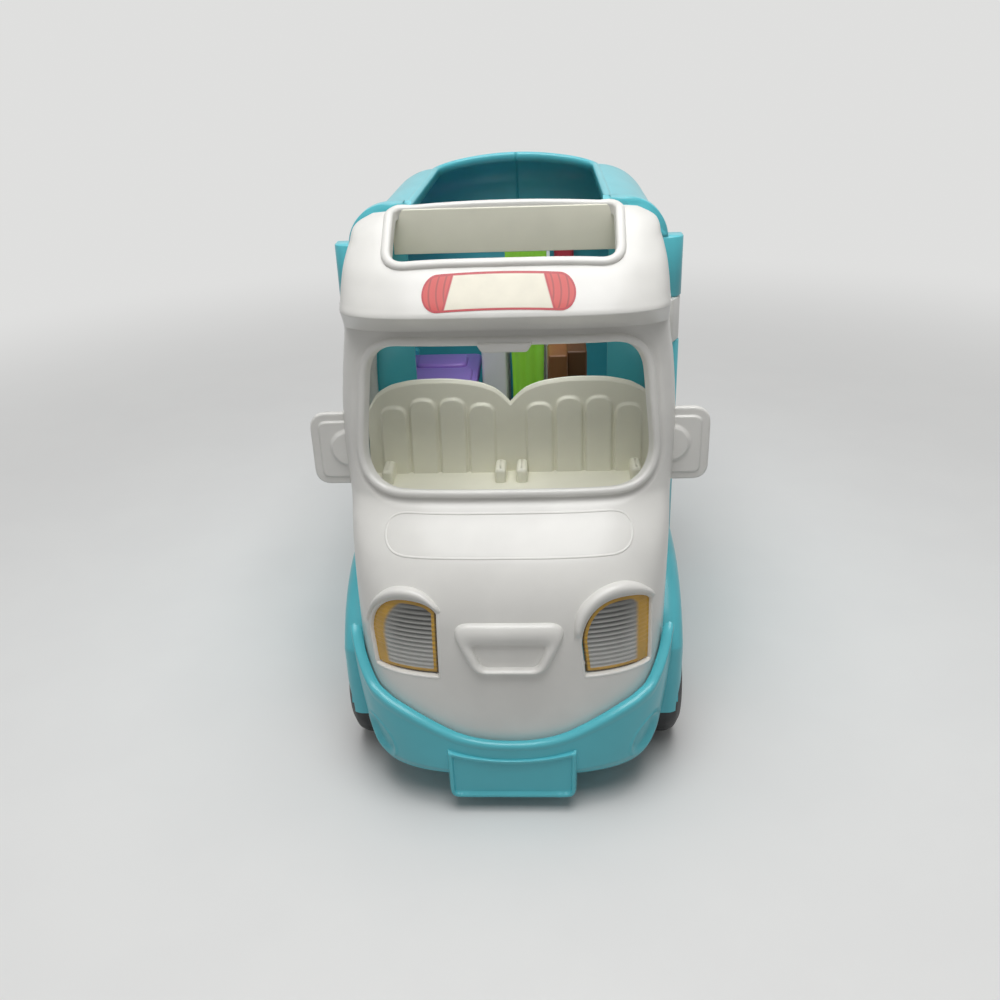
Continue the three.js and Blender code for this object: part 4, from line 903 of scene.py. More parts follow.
class CAMPER_OT_bumper(bpy.types.Operator):
    """Make the front bumper with its rounded top lip, lamp dishes and rimmed plate."""

    bl_idname = "camper.bumper"
    bl_label = "Front bumper"

    def execute(self, context):
        """The band is the cab's form grown outwards: up its face to a curved top line, over a half round and down.

        A tilted oval on each side is sunk along the normals, with a low rim.
        """
        a = even_turns(CAB_POWER, 0.6, 43.0, 63.0)
        w = np.concatenate([np.linspace(0, 1, 84), 1 + np.linspace(0, 1, 16)[1:], 2 + np.linspace(0, 1, 30)[1:]])
        face, over, down = (np.clip(w - start, 0, 1)[:, None] for start in (0, 1, 2))
        low, lip_height = 17.4, 1.6
        tall = smile_height(across_front(a, CAB_POWER) * 62.4)[None] - lip_height - low
        z = low + tall * face + lip_height * np.sin(over * math.pi) - tall * down
        out = 4.1 - 1.1 * (1 - step(0, 0.16, face))
        lip = 0.3 * step(0.88, 0.97, face)
        out = out + lip - (3.6 + lip) * (1 - np.cos(over * math.pi)) / 2
        nose, bend, half = form_at(CAB_FORM, np.clip(z, 13, 90))
        x = across_front(a, CAB_POWER) * (half + out)
        y = nose + bend - (bend + out) * np.sin(a) ** (2 / CAB_POWER)
        grid = np.stack([x, y, z], 2)
        along = (np.abs(x) - 52.8) * 0.73 + (y - 12.9) * 0.68
        up = z - 29.0
        oval = np.hypot((along * 0.615 + up * 0.788) / 9.4, (along * 0.788 - up * 0.615) / 6.3)
        sink = 1.8 * (1 - step(0.60, 1.0, oval)) - 0.4 * bump(oval, 1.03, 1.08, 0.08)
        grid = grid - normals_of(grid) * np.where(face < 1, sink, 0)[..., None]
        mesh_piece("bumper_band", grid, "teal", "cab", ["front_bumper"], keep=cells(grid)[1] < 27.9)
        self.plate()
        return {"FINISHED"}

    def plate(self):
        """The front plate: a dipped top edge, a raised rim and a flat field, as depths over its outline."""
        outline = evened(np.vstack([
            bezier([(-20.9, 7.4), (20.9, 7.4)], 8), bezier([(20.9, 7.4), (24.9, 7.4), (24.9, 11.4)], 8),
            bezier([(24.9, 11.4), (25.2, 30.5)], 8), bezier([(25.2, 30.5), (0, 22.1), (-25.2, 30.5)], 30),
            bezier([(-25.2, 30.5), (-24.9, 11.4)], 8), bezier([(-24.9, 11.4), (-24.9, 7.4), (-20.9, 7.4)], 8)]), 0.7)
        centre = np.array([0.0, 17.0])
        share = np.concatenate([np.linspace(0.04, 0.86, 20), np.linspace(0.87, 1.0, 22)])
        flat = centre + (outline[None] - centre) * share[:, None, None]
        depth = -signed_distance(flat[..., 0], flat[..., 1], outline)
        y = 1.3 - 1.3 * bump(depth, 0.6, 1.7, 0.5) + 0.3 * (1 - step(0.0, 0.4, depth))
        face = np.stack([flat[..., 0], y, flat[..., 1]], 2)
        back = face[-1:].copy()
        back[..., 1] = 5.6
        solid_piece("front_plate", np.concatenate([face, back]), "teal", "cab")


# Chassis

class CAMPER_OT_chassis(bpy.types.Operator):
    """Make the chassis: a pan, rounded fenders with wheel wells, and the lower hinge lugs."""

    bl_idname = "camper.chassis"
    bl_label = "Chassis"

    def execute(self, context):
        """The pan is the cab's lowest outline, lifted and drawn in a little at both levels."""
        ring = form_grid(CAB_FORM, CAB_POWER, np.array([13.0]), CAB_REAR, 2.0, 8)[0]
        levels = [(13.5, 0.99), (13.9, 1.0), (16.7, 1.0), (17.0, 0.99)]
        middle = np.array([0, 55, 0])
        pan = np.stack([(ring - middle) * (k, k, 0) + middle + (0, 0, z) for z, k in levels])
        solid_piece("chassis_pan", pan, "teal", "cab", ["chassis"])
        for side, name in SIDES:
            self.fender(name, side)
            self.well(name, side)
            hinge_lug("lower_hinge_lug_" + name, side, 30.0, 46.0, "teal")
        return {"FINISHED"}

    def fender(self, name, side):
        """A fender: a strip from its outer edge to the wheel arch, turned in along the edge by a quarter circle."""
        front, rear, top, low, foot = 28.3, CAB_REAR, 86.0, 27.0, 14.0
        radius, turn = 30.3, 6.0
        edge = np.vstack([bezier([(front, low), (front, top - 28)], 30),
                          bezier([(front, top - 28), (front + 12, top - 6), (rear - 46, top), (rear - 20, top)], 70),
                          bezier([(rear - 20, top), (rear, top)], 20),
                          bezier([(rear, top), (rear, foot)], 50), [(rear, foot)]])
        turns = math.pi - math.asin((low - WHEEL_Z) / radius), math.asin((foot - WHEEL_Z) / radius)
        a = np.linspace(*turns, len(edge))
        arch = np.stack([FRONT_WHEEL_Y + radius * np.cos(a), WHEEL_Z + radius * np.sin(a)], 1)
        t = np.concatenate([np.linspace(0, 0.5, 40), np.linspace(0.5, 1, 20)[1:]])[:, None, None]
        flat = edge[None] * (1 - t) + arch[None] * t
        field = np.vstack([[(front, low - 40)], edge[:100], [(rear + 40, top), (rear + 40, low - 40)]])
        depth = -signed_distance(flat[..., 0], flat[..., 1], field)
        share = np.clip(depth / turn, 0, 1)
        x = 68.4 - turn * (1 - np.sqrt(1 - (1 - share) ** 2)) - 0.9 * step(0.97, 1.0, t[..., 0])
        half = form_at(CAB_FORM, flat[0, :, 1])[2]
        root = np.column_stack([half - 1.2, edge])
        lip = np.column_stack([np.full(len(edge), 64.0), arch])
        grid = np.concatenate([root[None], np.concatenate([x[..., None], flat], 2), lip[None]])
        mesh_piece("fender_" + name, mirrored(grid, side), "teal", "cab", flip=side > 0)

    def well(self, name, side):
        """A wheel well: a half round carried inwards from the fender, closed by a wall."""
        a = np.linspace(-0.46, math.pi - 0.12, 60)
        x = np.array([67.0, 63.0, 57.0, 50.0, 49.2, 49.1, 49.1])[:, None]
        r = np.array([30.4, 30.2, 30.0, 30.0, 29.4, 15.0, 2.9])[:, None]
        grid = np.stack([x + 0 * a, FRONT_WHEEL_Y + r * np.cos(a), WHEEL_Z + r * np.sin(a)], 2)
        mesh_piece("wheel_well_" + name, mirrored(grid, side), "teal", "cab", flip=side > 0)


# Camper body halves

FOOT = 14.0
SPRING = 186.0
SHOULDER = 28.0
ROOF_FALL = 2.2
OPENING_HALF = 40.0
OPENING_REAR = 252.0


def roof_fall(y, z):
    """How far the body falls towards its rear: in full at the roof, and nothing at the foot."""
    return ROOF_FALL * (y - BODY_FRONT) / 280.0 * (z - FOOT) / 206.0


def section(inset, y):
    """Half of the body's section, up the side, round the shoulder and over the crown, drawn in by inset."""
    half = BODY_HALF - inset
    radius = np.minimum(np.maximum(SHOULDER - inset, 1.0), half)
    t = np.linspace(0, 1, 84)[None]
    up = np.stack([half + 0 * t, FOOT + (SPRING - FOOT) * t + 0 * half], 2)
    a = np.linspace(0, math.pi / 2, 34)[None, 1:]
    shoulder = np.stack([half - radius + radius * np.cos(a), SPRING + radius * np.sin(a)], 2)
    q = np.linspace(0, 1, 36)[None, 1:]
    start = half - radius
    over = np.stack([start + (0.02 - start) * q, SPRING + radius + (12 * q - 6 * q * q)], 2)
    line = np.concatenate([up, shoulder, over], 1)
    line[..., 1] -= roof_fall(y, line[..., 1])
    return np.stack([line[..., 0], np.repeat(y, line.shape[1], 1), line[..., 1]], 2)


def roof_opening():
    """The roof opening's edge on one half, from the front back to its corner and to the seam."""
    r = 15.0
    x, y = OPENING_HALF - r, OPENING_REAR - r
    a = np.linspace(0, math.pi / 2, 24)
    return np.vstack([np.stack([np.full(90, OPENING_HALF), np.linspace(BODY_FRONT + 0.2, y, 90)], 1),
                      np.stack([x + r * np.cos(a), y + r * np.sin(a)], 1),
                      np.stack([np.linspace(x, 0.02, 20)[1:], np.full(19, OPENING_REAR)], 1)])


def roof_height(x, y):
    """Height of the crowned roof above a place in plan."""
    flat = BODY_HALF - SHOULDER
    t = 1 - np.clip(x, 0, flat) / flat
    z = SPRING + SHOULDER + 12 * t - 6 * t * t
    return z - roof_fall(y, z)


def window_outline():
    """The outline of a body half's window, seen from the side."""
    return rounded_rect(134, 108, 190, 164, 12)


class CAMPER_OT_halves(bpy.types.Operator):
    """Make both camper body halves: shell, roof rim, front hoop, hinge post, window frame, arch lip and step."""

    bl_idname = "camper.halves"
    bl_label = "Body halves"

    def execute(self, context):
        for side, name in SIDES:
            self.half(name, side, context.scene.camper_sizes)
            self.hoop(name, side)
            self.post(name, side)
            self.back(name, side)
        return {"FINISHED"}

    def half(self, name, side, sizes):
        """A half's shell with its rear corner drawn in by a quarter circle, and the beads round its openings."""
        body, wall = name + "_half", sizes.mm("wall")
        corner = 20.0
        a = np.linspace(0, math.pi / 2, 18)[1:]
        y = np.concatenate([np.linspace(BODY_FRONT, BODY_REAR - corner, 104),
                            BODY_REAR - corner + corner * np.sin(a), np.full(40, BODY_REAR)])[:, None]
        inset = np.concatenate([np.zeros(104), corner - corner * np.cos(a),
                                corner + np.linspace(0, 51.28, 41)[1:]])[:, None]
        grid = section(inset, y)
        cx, cy, cz = cells(grid)
        plan = np.vstack([roof_opening(), [(-60.0, OPENING_REAR), (-60.0, 60.0), (OPENING_HALF, 60.0)]])
        hole = (cz > 195) & (signed_distance(cx, cy, plan) < 1.2)
        hole |= (cx > 60) & (signed_distance(cy, cz, window_outline()) < 0.6)
        hole |= (cx > 50) & (np.hypot(cy - REAR_WHEEL_Y, cz - WHEEL_Z) < 31.8)
        hole |= (cy < 115.6) & (cx > 61) & (cz < 204.5)
        mesh_piece("body_shell_" + name, mirrored(grid, side), "teal", body, ["body_half_" + name], keep=~hole,
                   flip=side > 0, thickness=wall)

        x, y = roof_opening().T
        path = mirrored(np.stack([x, y, roof_height(x, y)], 1), side)[::side]
        profile = round_profile(sizes.mm("rim_width"), sizes.mm("rim_height"), wall + 0.4)
        ring_piece("roof_rim_" + name, path, (0, 0, 1), profile, "teal", body, closed=False)
        y, z = evened(window_outline(), 1.4).T
        path = mirrored(np.stack([np.full(len(y), BODY_HALF), y, z], 1), side)[::side]
        profile = round_profile(3.4, 0.95, wall + 0.2)
        ring_piece("window_frame_" + name, path, (side, 0, 0), profile, "teal", body)
        a = np.linspace(-0.46, math.pi + 0.46, 90)[::side]
        path = np.stack([side * BODY_HALF + 0 * a, REAR_WHEEL_Y + 30.4 * np.cos(a), WHEEL_Z + 30.4 * np.sin(a)], 1)
        profile = round_profile(3.4, 0.9, wall + 0.6)
        ring_piece("arch_lip_" + name, path, (side, 0, 0), profile, "teal", body, closed=False)

    def hoop(self, name, side):
        """The front hoop and flange: a flat section carried up the side and over the shoulder."""
        a = np.linspace(0, math.pi / 2, 40)
        x, z = np.vstack([np.stack([np.full(60, 64.2), np.linspace(FOOT, 202.4, 60)], 1),
                          np.stack([47.2 + 17 * np.cos(a), 202.4 + 17 * np.sin(a)], 1)[1:], [(41.0, 219.4)]]).T
        inner_x, low_z = np.minimum(x - 0.5, 41.0), np.minimum(z, 216.5)
        front, rear, deep = BODY_FRONT, BODY_FRONT + 6.5, BODY_FRONT + 3
        lane = [(x - 2.4, rear, z), (x, rear, z), (x + 0.5, rear - 0.7, z), (x + 0.5, front + 0.7, z), (x, front, z),
                (inner_x, front, low_z), (inner_x, deep, low_z), (x - 2.4, deep, low_z), (x - 2.4, rear, z)]
        grid = np.stack([np.stack([u, np.full(len(u), y), v], 1) for u, y, v in lane])
        cx, _, cz = cells(grid)
        lug = np.zeros(cx.shape, bool)
        for low, high in LUG_GAPS.values():
            lug |= (cz > low) & (cz < high) & (cx > 58.7)
        mesh_piece("front_hoop_" + name, mirrored(grid, side), "teal", name + "_half", keep=~lug,
                   flip=side > 0)

    def post(self, name, side):
        """The hinge post in three lengths, square inside and round about its pin at the outer front."""
        a = np.linspace(-math.pi / 2, 0, 12)
        plan = np.vstack([[(58.4, 105.1)], np.stack([PIN_X + 5 * np.cos(a), PIN_Y + 5.2 * np.sin(a)], 1),
                          [(71.3, 115.3), (58.4, 115.3)]])
        plan = evened(plan, 0.9)
        (upper_low, upper_high), (lower_low, lower_high) = LUG_GAPS["upper"], LUG_GAPS["lower"]
        for k, (low, high) in enumerate(((FOOT, lower_low), (lower_high, upper_low), (upper_high, 203.4))):
            solid_piece(f"hinge_post_{name}_{k}", lifted(plan, low, high, 0.94), "teal", name + "_half", side=side)

    def back(self, name, side):
        """The plates behind the hinge lugs, and the rear step."""
        made = {f"hinge_back_{name}_{level}": block(61.2, 115.2, low - 0.2, 70.9, 117.4, high + 0.2, 0.6, 0.3)
                for level, (low, high) in LUG_GAPS.items()}
        made["rear_step_" + name] = block(0.02, 274.5, FOOT, 65.3, 280.0, 32.0, 2.4, 1.2)
        for piece, grid in made.items():
            solid_piece(piece, grid, "teal", name + "_half", side=side)


# Seats

def seat_top(x):
    """The seat backs' upper edge: two arches that meet in a notch."""
    return curve_through(np.abs(x), np.array([0, 2.5, 6, 10, 20.6, 32, 43.5, 51.4, 56, 60.0]),
                         np.array([142.2, 145.0, 148.0, 149.9, 152.1, 152.6, 151.7, 149.3, 146.0, 139.4]))


class CAMPER_OT_seats(bpy.types.Operator):
    """Make the seat bench: ribbed backs, seat plate, armrests and legs."""

    bl_idname = "camper.seats"
    bl_label = "Seat bench"

    def execute(self, context):
        """The backs are a wall between a level foot and two arches, raised inside each rib and leaning back."""
        foot, rib_half = 108.6, 5.75
        t, x = np.meshgrid(np.linspace(0, 1, 110), np.linspace(-60.0, 60.0, 340), indexing="ij")
        top = seat_top(x)
        z = foot + (top - foot) * t
        lift = np.zeros(x.shape)
        for side in (-1, 1):
            for i, rib_top in enumerate((141.6, 144.8, 144.8, 142.4)):
                middle = side * (12 + (3 - i) * 12.3)
                rib = signed_distance(x, z, rounded_rect(middle - rib_half, 100, middle + rib_half, rib_top, 5.6))
                lift += 1.5 * (1 - step(-0.85, 0.2, rib))
        edge = 1 - step(0.0, 1.6, top - z)
        front = np.stack([x, 83.6 - lift + 0.9 * edge, z], 2)
        back = front[::-1].copy()
        back[..., 1] = 86.5 - 0.9 * edge[::-1]
        backs = np.concatenate([front, back])
        lean = 4.0 * np.clip((backs[..., 2] - 110.0) / 42.0, 0, 1)
        backs = backs + lean[..., None] * (0, 1, -0.345)
        mesh_piece("seat_backs", backs, "cream", "cab", ["seat_bench"])
        made = {"seat_plate": block(-58.8, 56, 108.5, 58.8, 86.4, 111.5, 2.0, 1.0),
                "seat_apron": block(-58.8, 56, 99.5, 58.8, 59, 110.0, 1.0, 0.6)}
        for k, x in enumerate((-51.5, -4.4, 4.4, 51.5)):
            made[f"armrest_{k}"] = block(x - 2.3, 71.6, 110.0, x + 2.3, 83.8, 117.4, 1.6, 1.7)
        for k, x in enumerate((-40, 40)):
            made[f"seat_leg_{k}"] = block(x - 1.5, 66.5, 17.3, x + 1.5, 86.4, 109.5, 0.8, 0.5)
        for name, grid in made.items():
            solid_piece(name, grid, "cream", "cab")
        return {"FINISHED"}


# Lamps and mirrors

class CAMPER_OT_lamps(bpy.types.Operator):
    """Make the ribbed headlight lenses."""

    bl_idname = "camper.lamps"
    bl_label = "Headlights"

    def execute(self, context):
        """A lens is the cab's front inside the lamp's outline, set back and raised by a sine wave up its height."""
        for side, name in SIDES:
            middle = side * LAMP_X
            outline = evened(lamp_outline(middle, GAP), 0.5)
            z = np.linspace(outline[:, 1].min() + 0.05, outline[:, 1].max() - 0.05, 170)
            at_left = outline[:, 0] < middle + 2
            left, right = (np.interp(z, *part[np.argsort(part[:, 1])][:, ::-1].T)[:, None]
                           for part in (outline[at_left], outline[~at_left]))
            x = left + (right - left) * np.linspace(0, 1, 60)[None]
            h = np.repeat(z[:, None], 60, 1)
            edge = np.abs(signed_distance(x, h, outline))
            outer = right - x if side > 0 else x - left
            wave = np.sin((h - LENS_LOW) * 2 * math.pi / LENS_RIB)
            rib = 0.16 * wave * step(1.2, 2.4, edge) * step(4.5, 7.0, outer)
            depth = 1.9 - rib + 0.3 * (1 - step(0, 1.2, edge))
            grid = np.stack([x, cab_front(x, h) + depth, h], 2)
            mesh_piece("headlight_lens_" + name, grid, "lens", "cab", ["headlight_" + name],
                       attributes={"edge": edge, "outer": outer}, thickness=1.0)
        return {"FINISHED"}


class CAMPER_OT_mirrors(bpy.types.Operator):
    """Make the side mirrors: rounded plates with a stepped face and a round boss."""

    bl_idname = "camper.mirrors"
    bl_label = "Side mirrors"

    def execute(self, context):
        """A plate is rings drawn in from its outline; depth from the outline and from the boss set its face."""
        for side, name in SIDES:
            corners = [(61.0, 116.8, 1.0), (78.6, 116.8, 6.6), (78.6, 147.4, 7.4), (61.0, 147.4, 1.0)]
            outline = evened(rounded(corners), 0.6)
            wide = rounded([(30.0, 116.8, 1.0)] + corners[1:3] + [(30.0, 147.4, 1.0)])
            centre = np.array([69.8, 132.1])
            share = np.concatenate([np.linspace(0.03, 0.6, 26), np.linspace(0.615, 1, 40)])
            flat = centre + (outline[None] - centre) * share[:, None, None]
            depth = -signed_distance(flat[..., 0], flat[..., 1], wide)
            round_edge = 1 - np.sqrt(1 - (1 - np.clip(depth, 0, 1)) ** 2)
            boss = np.hypot(flat[..., 0] - 63.2, flat[..., 1] - 133.0)
            front = 61.4 + round_edge - 0.8 * step(3.0, 4.0, depth) - 1.4 * (1 - step(6.4, 8.2, boss))
            back = 64.4 - round_edge
            face = np.stack([flat[..., 0], front, flat[..., 1]], 2)
            rear = np.stack([flat[..., 0], back, flat[..., 1]], 2)[::-1]
            solid_piece("mirror_plate_" + name, np.concatenate([face, rear[1:]]), "white", "cab",
                        ["mirror_" + name], side)
        return {"FINISHED"}


# Wheels

class CAMPER_OT_wheels(bpy.types.Operator):
    """Make the wheels with a domed tread and shallow tread grooves, and the hubcaps."""

    bl_idname = "camper.wheels"
    bl_label = "Wheels"

    def execute(self, context):
        """Tyre and cap are profiles turned about the axle; cosines of the angle cut the tread and the pockets."""
        tyre = [(2.8, 0), (8, 0), (9, 8), (23, 8), (24, 0), (26, 0), (28, 2), (28, 12), (26.4, 15.4), (22, 18),
                (16.3, 17), (16.3, 14), (2.8, 14)]
        cap = [(16, 14.3), (16, 16.1), (14.4, 16.9), (12, 15.9), (7, 16.1), (5.4, 17.5), (2, 17.8), (0.01, 17.8)]
        for side, name in SIDES:
            for end, y in (("front", FRONT_WHEEL_Y), ("rear", REAR_WHEEL_Y)):
                body = "front_wheels" if end == "front" else "rear_wheel_" + name
                place = np.array([52.0, y, WHEEL_Z])
                grid = lathe_x(dense(tyre, 1.3, 5), 96)
                angle = np.arctan2(grid[..., 2], grid[..., 1])
                radius = np.hypot(grid[..., 1], grid[..., 2])
                tread = step(27.2, 27.9, radius) * 0.3 * step(0.55, 0.9, np.cos(angle * 24))
                grid[..., 1:] *= ((radius - tread) / np.maximum(radius, 1e-6))[..., None] * (27.75 / 28)
                mesh_piece(f"tyre_{end}_{name}", mirrored(grid + place, side), "black", body,
                           [f"wheel_{end}_{name}"], closed=True, flip=side < 0)
                disc = lathe_x(dense(cap, 0.7, 4), 72)
                angle = np.arctan2(disc[..., 2], disc[..., 1])
                radius = np.hypot(disc[..., 1], disc[..., 2])
                disc[..., 0] -= 0.5 * bump(radius, 8.2, 11.2, 0.8) * step(0.35, 0.75, np.cos(angle * 8))
                solid_piece(f"wheel_cap_{end}_{name}", disc + place, "white", body,
                            [f"hubcap_{end}_{name}"], side)
        return {"FINISHED"}


# Fittings

FITTINGS = (
    # name, finish, body, solids it stands for, side, corner and edge radius, box
    ("wardrobe_body", "white", "right_half", ["wardrobe"], -1, 2.0, 0.8, (6.2, 205, 21.3, 19.5, 245, 150)),
    ("cupboard_body", "red", "left_half", ["wall_cupboard"], 1, 2.0, 0.8, (20, 257.6, 148, 31, 273.6, 176)),
    ("kitchen_tall_light", "brown", "left_half", ["kitchen_unit"], 1, 1.2, 0.8, (16, 152, 21.3, 25.2, 189, 140)),
    # the recessed tall part and the counter take half the brown as painted shade
    ("kitchen_tall_dark", "dark brown", "left_half", (), 1, 1.2, 0.8, (24.8, 158, 21.3, 34.6, 189, 140)),
    ("kitchen_counter", "dark brown", "left_half", (), 1, 2.4, 0.8, (34.2, 122, 21.3, 68.4, 189, 84)),
    ("bunk_tray", "purple", "fold_up_bunk", ["bunk"], -1, 4, 1.6, (22, 133.9, 106, 64.7, 248, 112)),
    ("bunk_pillow", "purple", "fold_up_bunk", (), -1, 5, 1.9, (29, 222, 110, 57.7, 241, 114)),
    ("bunk_mattress", "purple", "fold_up_bunk", (), -1, 5, 1.7, (25, 137, 110, 61.7, 219, 113.4)),
)
REFINISHED = {
    "steel": ("front_axle", "rear_axle_left", "rear_axle_right", "hinge_pin_left_upper", "hinge_pin_left_lower",
              "hinge_pin_right_upper", "hinge_pin_right_lower"),
    "teal": ("floor_left", "floor_right", "seam_tongue", "bunk_bracket_front", "bunk_bracket_rear"),
    "white": ("washroom", "hob"),
}
PANEL_LINES = (
    # finish, body, facing, the face's level, box on the face
    ("white", "right_half", "left", -6.2, (210.5, 27, 224, 144)),
    ("white", "right_half", "left", -6.2, (227, 27, 242, 144)),
    ("brown", "left_half", "right", 16, (155.5, 27, 185.5, 78)),
    ("brown", "left_half", "right", 16, (155.5, 84, 185.5, 134)),
    # the counter's panel line takes the counter's painted shade brown
    ("dark brown", "left_half", "front", 122, (38.6, 28, 64, 66)),
    ("red", "left_half", "front", 257.6, (22.2, 151, 28.8, 173)),
)
KNOBS = (
    # finish, body, facing, place
    ("white", "right_half", "left", (-6.2, 221, 86)), ("white", "right_half", "left", (-6.2, 230, 86)),
    ("dark brown", "left_half", "right", (16, 181, 70)), ("dark brown", "left_half", "right", (16, 181, 92)),
    ("white", "left_half", "front", (41, 122, 74.5)), ("white", "left_half", "front", (47.8, 122, 74.5)),
    ("white", "left_half", "front", (54.6, 122, 74.5)), ("white", "left_half", "front", (61.4, 122, 74.5)),
)


class CAMPER_OT_fittings(bpy.types.Operator):
    """Make the inside fittings with rounded edges, and finish the rods and floors."""

    bl_idname = "camper.fittings"
    bl_label = "Inside fittings"

    def execute(self, context):
        for name, finish, body, replaces, side, corner, edge, box in FITTINGS:
            solid_piece(name, block(*box, corner, edge), finish, body, replaces, side)
        for finish, nodes in REFINISHED.items():
            for node in nodes:
                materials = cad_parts[node].data.materials
                materials.clear()
                materials.append(finish_of(finish))
        for k, line in enumerate(PANEL_LINES):
            self.panel_line(f"panel_line_{k}", *line)
        for k, knob in enumerate(KNOBS):
            self.knob(f"knob_{k}", *knob)
        self.curtain()
        return {"FINISHED"}

    def panel_line(self, name, finish, body, facing, level, box):
        """A moulded panel line: a bead carried round a rounded rectangle on a flat face."""
        edge = evened(rounded_rect(*box, 2.0, 6), 0.8)
        flat = np.full(len(edge), float(level))
        if facing == "front":
            path, normal = np.stack([edge[:, 0], flat, edge[:, 1]], 1), (0, -1, 0)
        else:
            sign = 1 if facing == "left" else -1
            path, normal = np.stack([flat, edge[:, 0], edge[:, 1]], 1)[::sign], (sign, 0, 0)
        ring_piece(name, path, normal, round_profile(1.2, 0.5, 0.3), finish, body)

    def knob(self, name, finish, body, facing, place):
        """A knob: a rounded button turned about its axis and set square on a face."""
        grid = lathe_x(dense([(2.0, -0.3), (1.6, 0.9), (2.3, 1.7), (1.6, 2.3), (0.02, 2.4)], 0.5, 4), 28)
        x, y, z = grid[..., 0], grid[..., 1], grid[..., 2]
        turned = {"left": (x, y, z), "right": (-x, -y, z), "front": (y, -x, z)}[facing]
        solid_piece(name, np.stack(turned, 2) + place, finish, body)

    def curtain(self):
        """The curtain: a wavy sheet drawn in at its waist, as a closed ring at each height."""
        t = np.linspace(0, 1, 90)
        share = np.linspace(0, 1, 40)[:, None]
        half = 10.6 * (1 - 0.22 * np.sin(math.pi * share) ** 2)
        wave = 0.6 * np.sin(t * 2 * math.pi * 3)[None]
        x = 5.2 + half * (2 * t - 1)[None]
        z = 30 + 152 * share + 0 * x
        front = np.stack([x, 205 + wave + 0 * x, z], 2)
        back = np.stack([x, 208 + wave + 0 * x, z], 2)[:, ::-1]
        mesh_piece("curtain_sheet", np.concatenate([front, back], 1), "lime", "left_half", ["curtain"],
                   closed=True)


# Stage

FAR_TONE = 0.74
SKY_LIGHT = 0.22
NONE = (0, 0, 0, 1)
FLOOR_REACH = 6.0
PHOTO_WIDTH = 1000.0
PHOTO_FOCAL = 981.0
SENSOR = 36.0


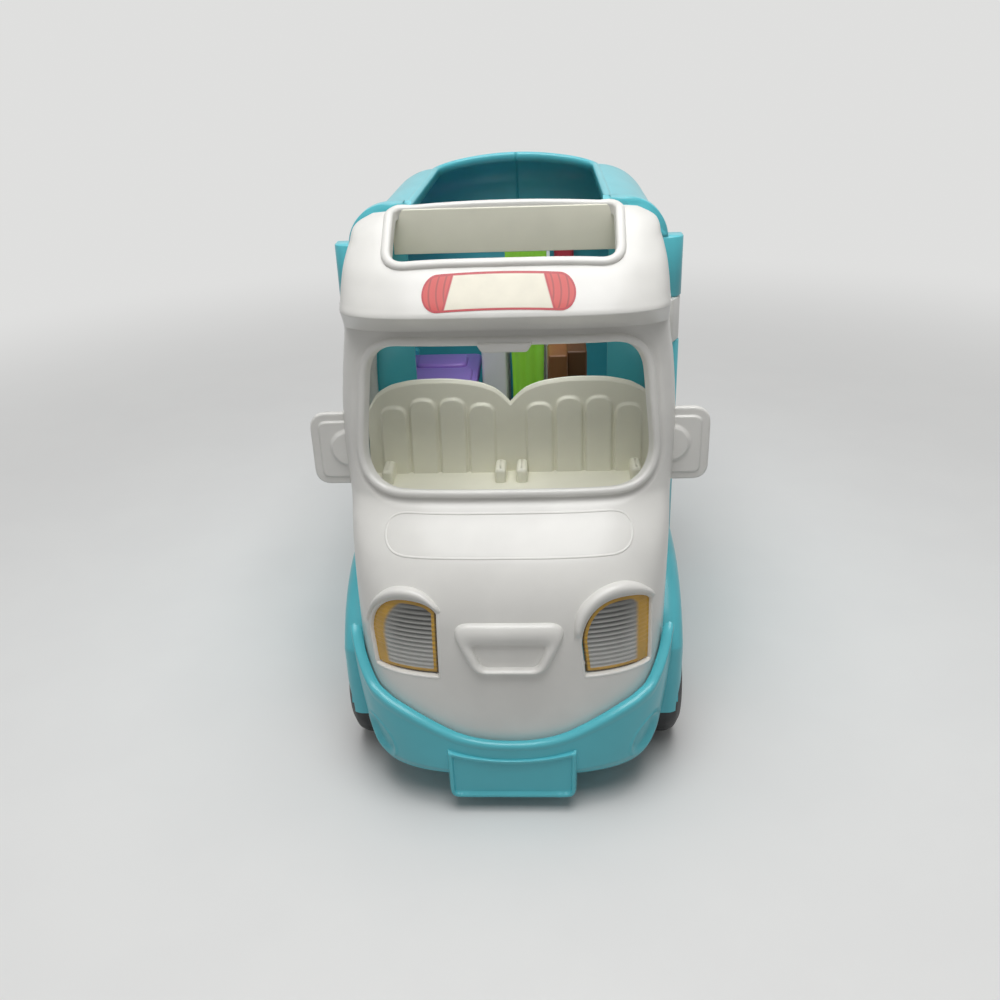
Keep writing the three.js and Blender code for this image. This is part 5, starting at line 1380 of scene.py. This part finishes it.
class CAMPER_OT_stage(bpy.types.Operator):
    """Make the pale floor, the soft lights and the camera."""

    bl_idname = "camper.stage"
    bl_label = "Stage"

    def execute(self, context):
        scene = context.scene
        scene.view_settings.view_transform = "Standard"
        u, v = np.meshgrid(*[np.linspace(-FLOOR_REACH, FLOOR_REACH, 60)] * 2)
        mesh = bpy.data.meshes.new("floor")
        index = np.arange(u.size).reshape(u.shape)
        quads = np.stack([index[:-1, :-1], index[:-1, 1:], index[1:, 1:], index[1:, :-1]], -1).reshape(-1, 4)
        mesh.from_pydata(np.stack([u, v, 0 * u], 2).reshape(-1, 3).tolist(), [], quads.tolist())
        floor = bpy.data.objects.new("floor", mesh)
        scene.collection.objects.link(floor)
        floor.data.materials.append(self.paper())
        scene.world = scene.world or bpy.data.worlds.new("studio")
        sky = Maker("studio", scene.world)
        sky.set(Color=(1.0, 1.0, 0.99, 1), Strength=SKY_LIGHT + sky.seen() * (FAR_TONE - SKY_LIGHT))
        self.lamp("key", (0.02, -0.32, 0.86), (0.0, -0.02, 0.1), 0.5, 3.3)
        self.lamp("ceiling", (0.0, 0.10, 0.95), (0.0, 0.04, 0.1), 0.7, 3.4)
        self.lamp("fill", (-0.9, -0.9, 0.9), (0.0, 0.0, 0.1), 0.8, 0.5)
        self.camera(scene)
        return {"FINISHED"}

    def paper(self):
        """Pale paper: it takes the shadow near the van and is an even pale tone further off, where it is seen."""
        m = Maker("pale floor")
        p = m.place()
        seen = m.seen()
        grain = m.noise(p, 60.0).ramp(0.3, 0.7)
        dull = m.mix(grain, (0.50, 0.50, 0.50, 1), (0.52, 0.52, 0.515, 1))
        pale = m.mix(grain, (0.815, 0.815, 0.81, 1), (0.83, 0.83, 0.823, 1))
        distance = m.node("ShaderNodeVectorMath", {"operation": "LENGTH"}, [p], output="Value")
        away = distance.ramp(260.0, 900.0) * seen
        tone = m.mix(away, m.mix(seen, dull, pale), NONE)
        far = m.mix(away, NONE, (FAR_TONE, FAR_TONE, FAR_TONE * 0.99, 1))
        m.set(Emission_Strength=1.0, Specular_IOR_Level=0.0)
        return m.set(Base_Color=tone, Roughness=0.8, Emission_Color=far)

    def lamp(self, name, place, aim, size, power):
        """A square soft lamp at a place, turned to its aim."""
        data = bpy.data.lights.new(name, "AREA")
        data.energy = power
        data.size = size
        lamp = bpy.data.objects.new(name, data)
        bpy.context.scene.collection.objects.link(lamp)
        away = np.array(place) - np.array(aim)
        away = away / np.linalg.norm(away)
        side = np.cross((0, 1, 0.01), away)
        side = side / np.linalg.norm(side)
        turn = np.eye(4)
        turn[:3, 0], turn[:3, 1], turn[:3, 2], turn[:3, 3] = side, np.cross(away, side), away, place
        lamp.matrix_world = Matrix(turn.tolist())

    def camera(self, scene):
        """The photograph's camera: its place, and axes turned by yaw, pitch and roll."""
        pitch, yaw, roll = (math.radians(v) for v in (26.0, 3.23, -2.15))
        ahead = np.array([-math.sin(yaw) * math.cos(pitch), math.cos(yaw) * math.cos(pitch), -math.sin(pitch)])
        right = np.array([math.cos(yaw), math.sin(yaw), 0.0])
        up = np.cross(right, ahead)
        across = math.cos(roll) * right + math.sin(roll) * up
        upright = -math.sin(roll) * right + math.cos(roll) * up
        turn = np.eye(4)
        turn[:3, 0], turn[:3, 1], turn[:3, 2] = across, upright, -ahead
        turn[:3, 3] = (np.array([15.83, -296.2, 283.3]) - (0, FRONT_SHIFT, 0)) * 0.001
        data = bpy.data.cameras.new("photo camera")
        data.sensor_fit = "HORIZONTAL"
        data.sensor_width = SENSOR
        data.lens = SENSOR * PHOTO_FOCAL / PHOTO_WIDTH
        data.clip_start = 0.01
        camera = bpy.data.objects.new("photo camera", data)
        scene.collection.objects.link(camera)
        camera.matrix_world = Matrix(turn.tolist())
        scene.camera = camera


class CAMPER_PT_panel(bpy.types.Panel):
    """Lists the pieces and their settings in the sidebar."""

    bl_idname = "CAMPER_PT_panel"
    bl_label = "Toy camper van"
    bl_space_type = "VIEW_3D"
    bl_region_type = "UI"
    bl_category = "Camper"

    def draw(self, context):
        for maker in MAKERS:
            self.layout.operator(maker.bl_idname)
        for settings in (context.scene.camper_sizes, context.scene.camper_colours):
            for key in settings.__annotations__:
                self.layout.prop(settings, key)


MAKERS = (CAMPER_OT_stage, CAMPER_OT_cab, CAMPER_OT_cap, CAMPER_OT_bumper, CAMPER_OT_chassis, CAMPER_OT_halves,
          CAMPER_OT_seats, CAMPER_OT_lamps, CAMPER_OT_mirrors, CAMPER_OT_wheels, CAMPER_OT_fittings)
CLASSES = (CamperSizes, CamperColours) + MAKERS + (CAMPER_PT_panel,)


def register():
    for cls in CLASSES:
        bpy.utils.register_class(cls)
    bpy.types.Scene.camper_sizes = bpy.props.PointerProperty(type=CamperSizes)
    bpy.types.Scene.camper_colours = bpy.props.PointerProperty(type=CamperColours)


def unregister():
    del bpy.types.Scene.camper_sizes
    del bpy.types.Scene.camper_colours
    for cls in reversed(CLASSES):
        bpy.utils.unregister_class(cls)


def main():
    register()
    for maker in MAKERS:
        group, name = maker.bl_idname.split(".")
        getattr(getattr(bpy.ops, group), name)()


if __name__ == "__main__":
    main()
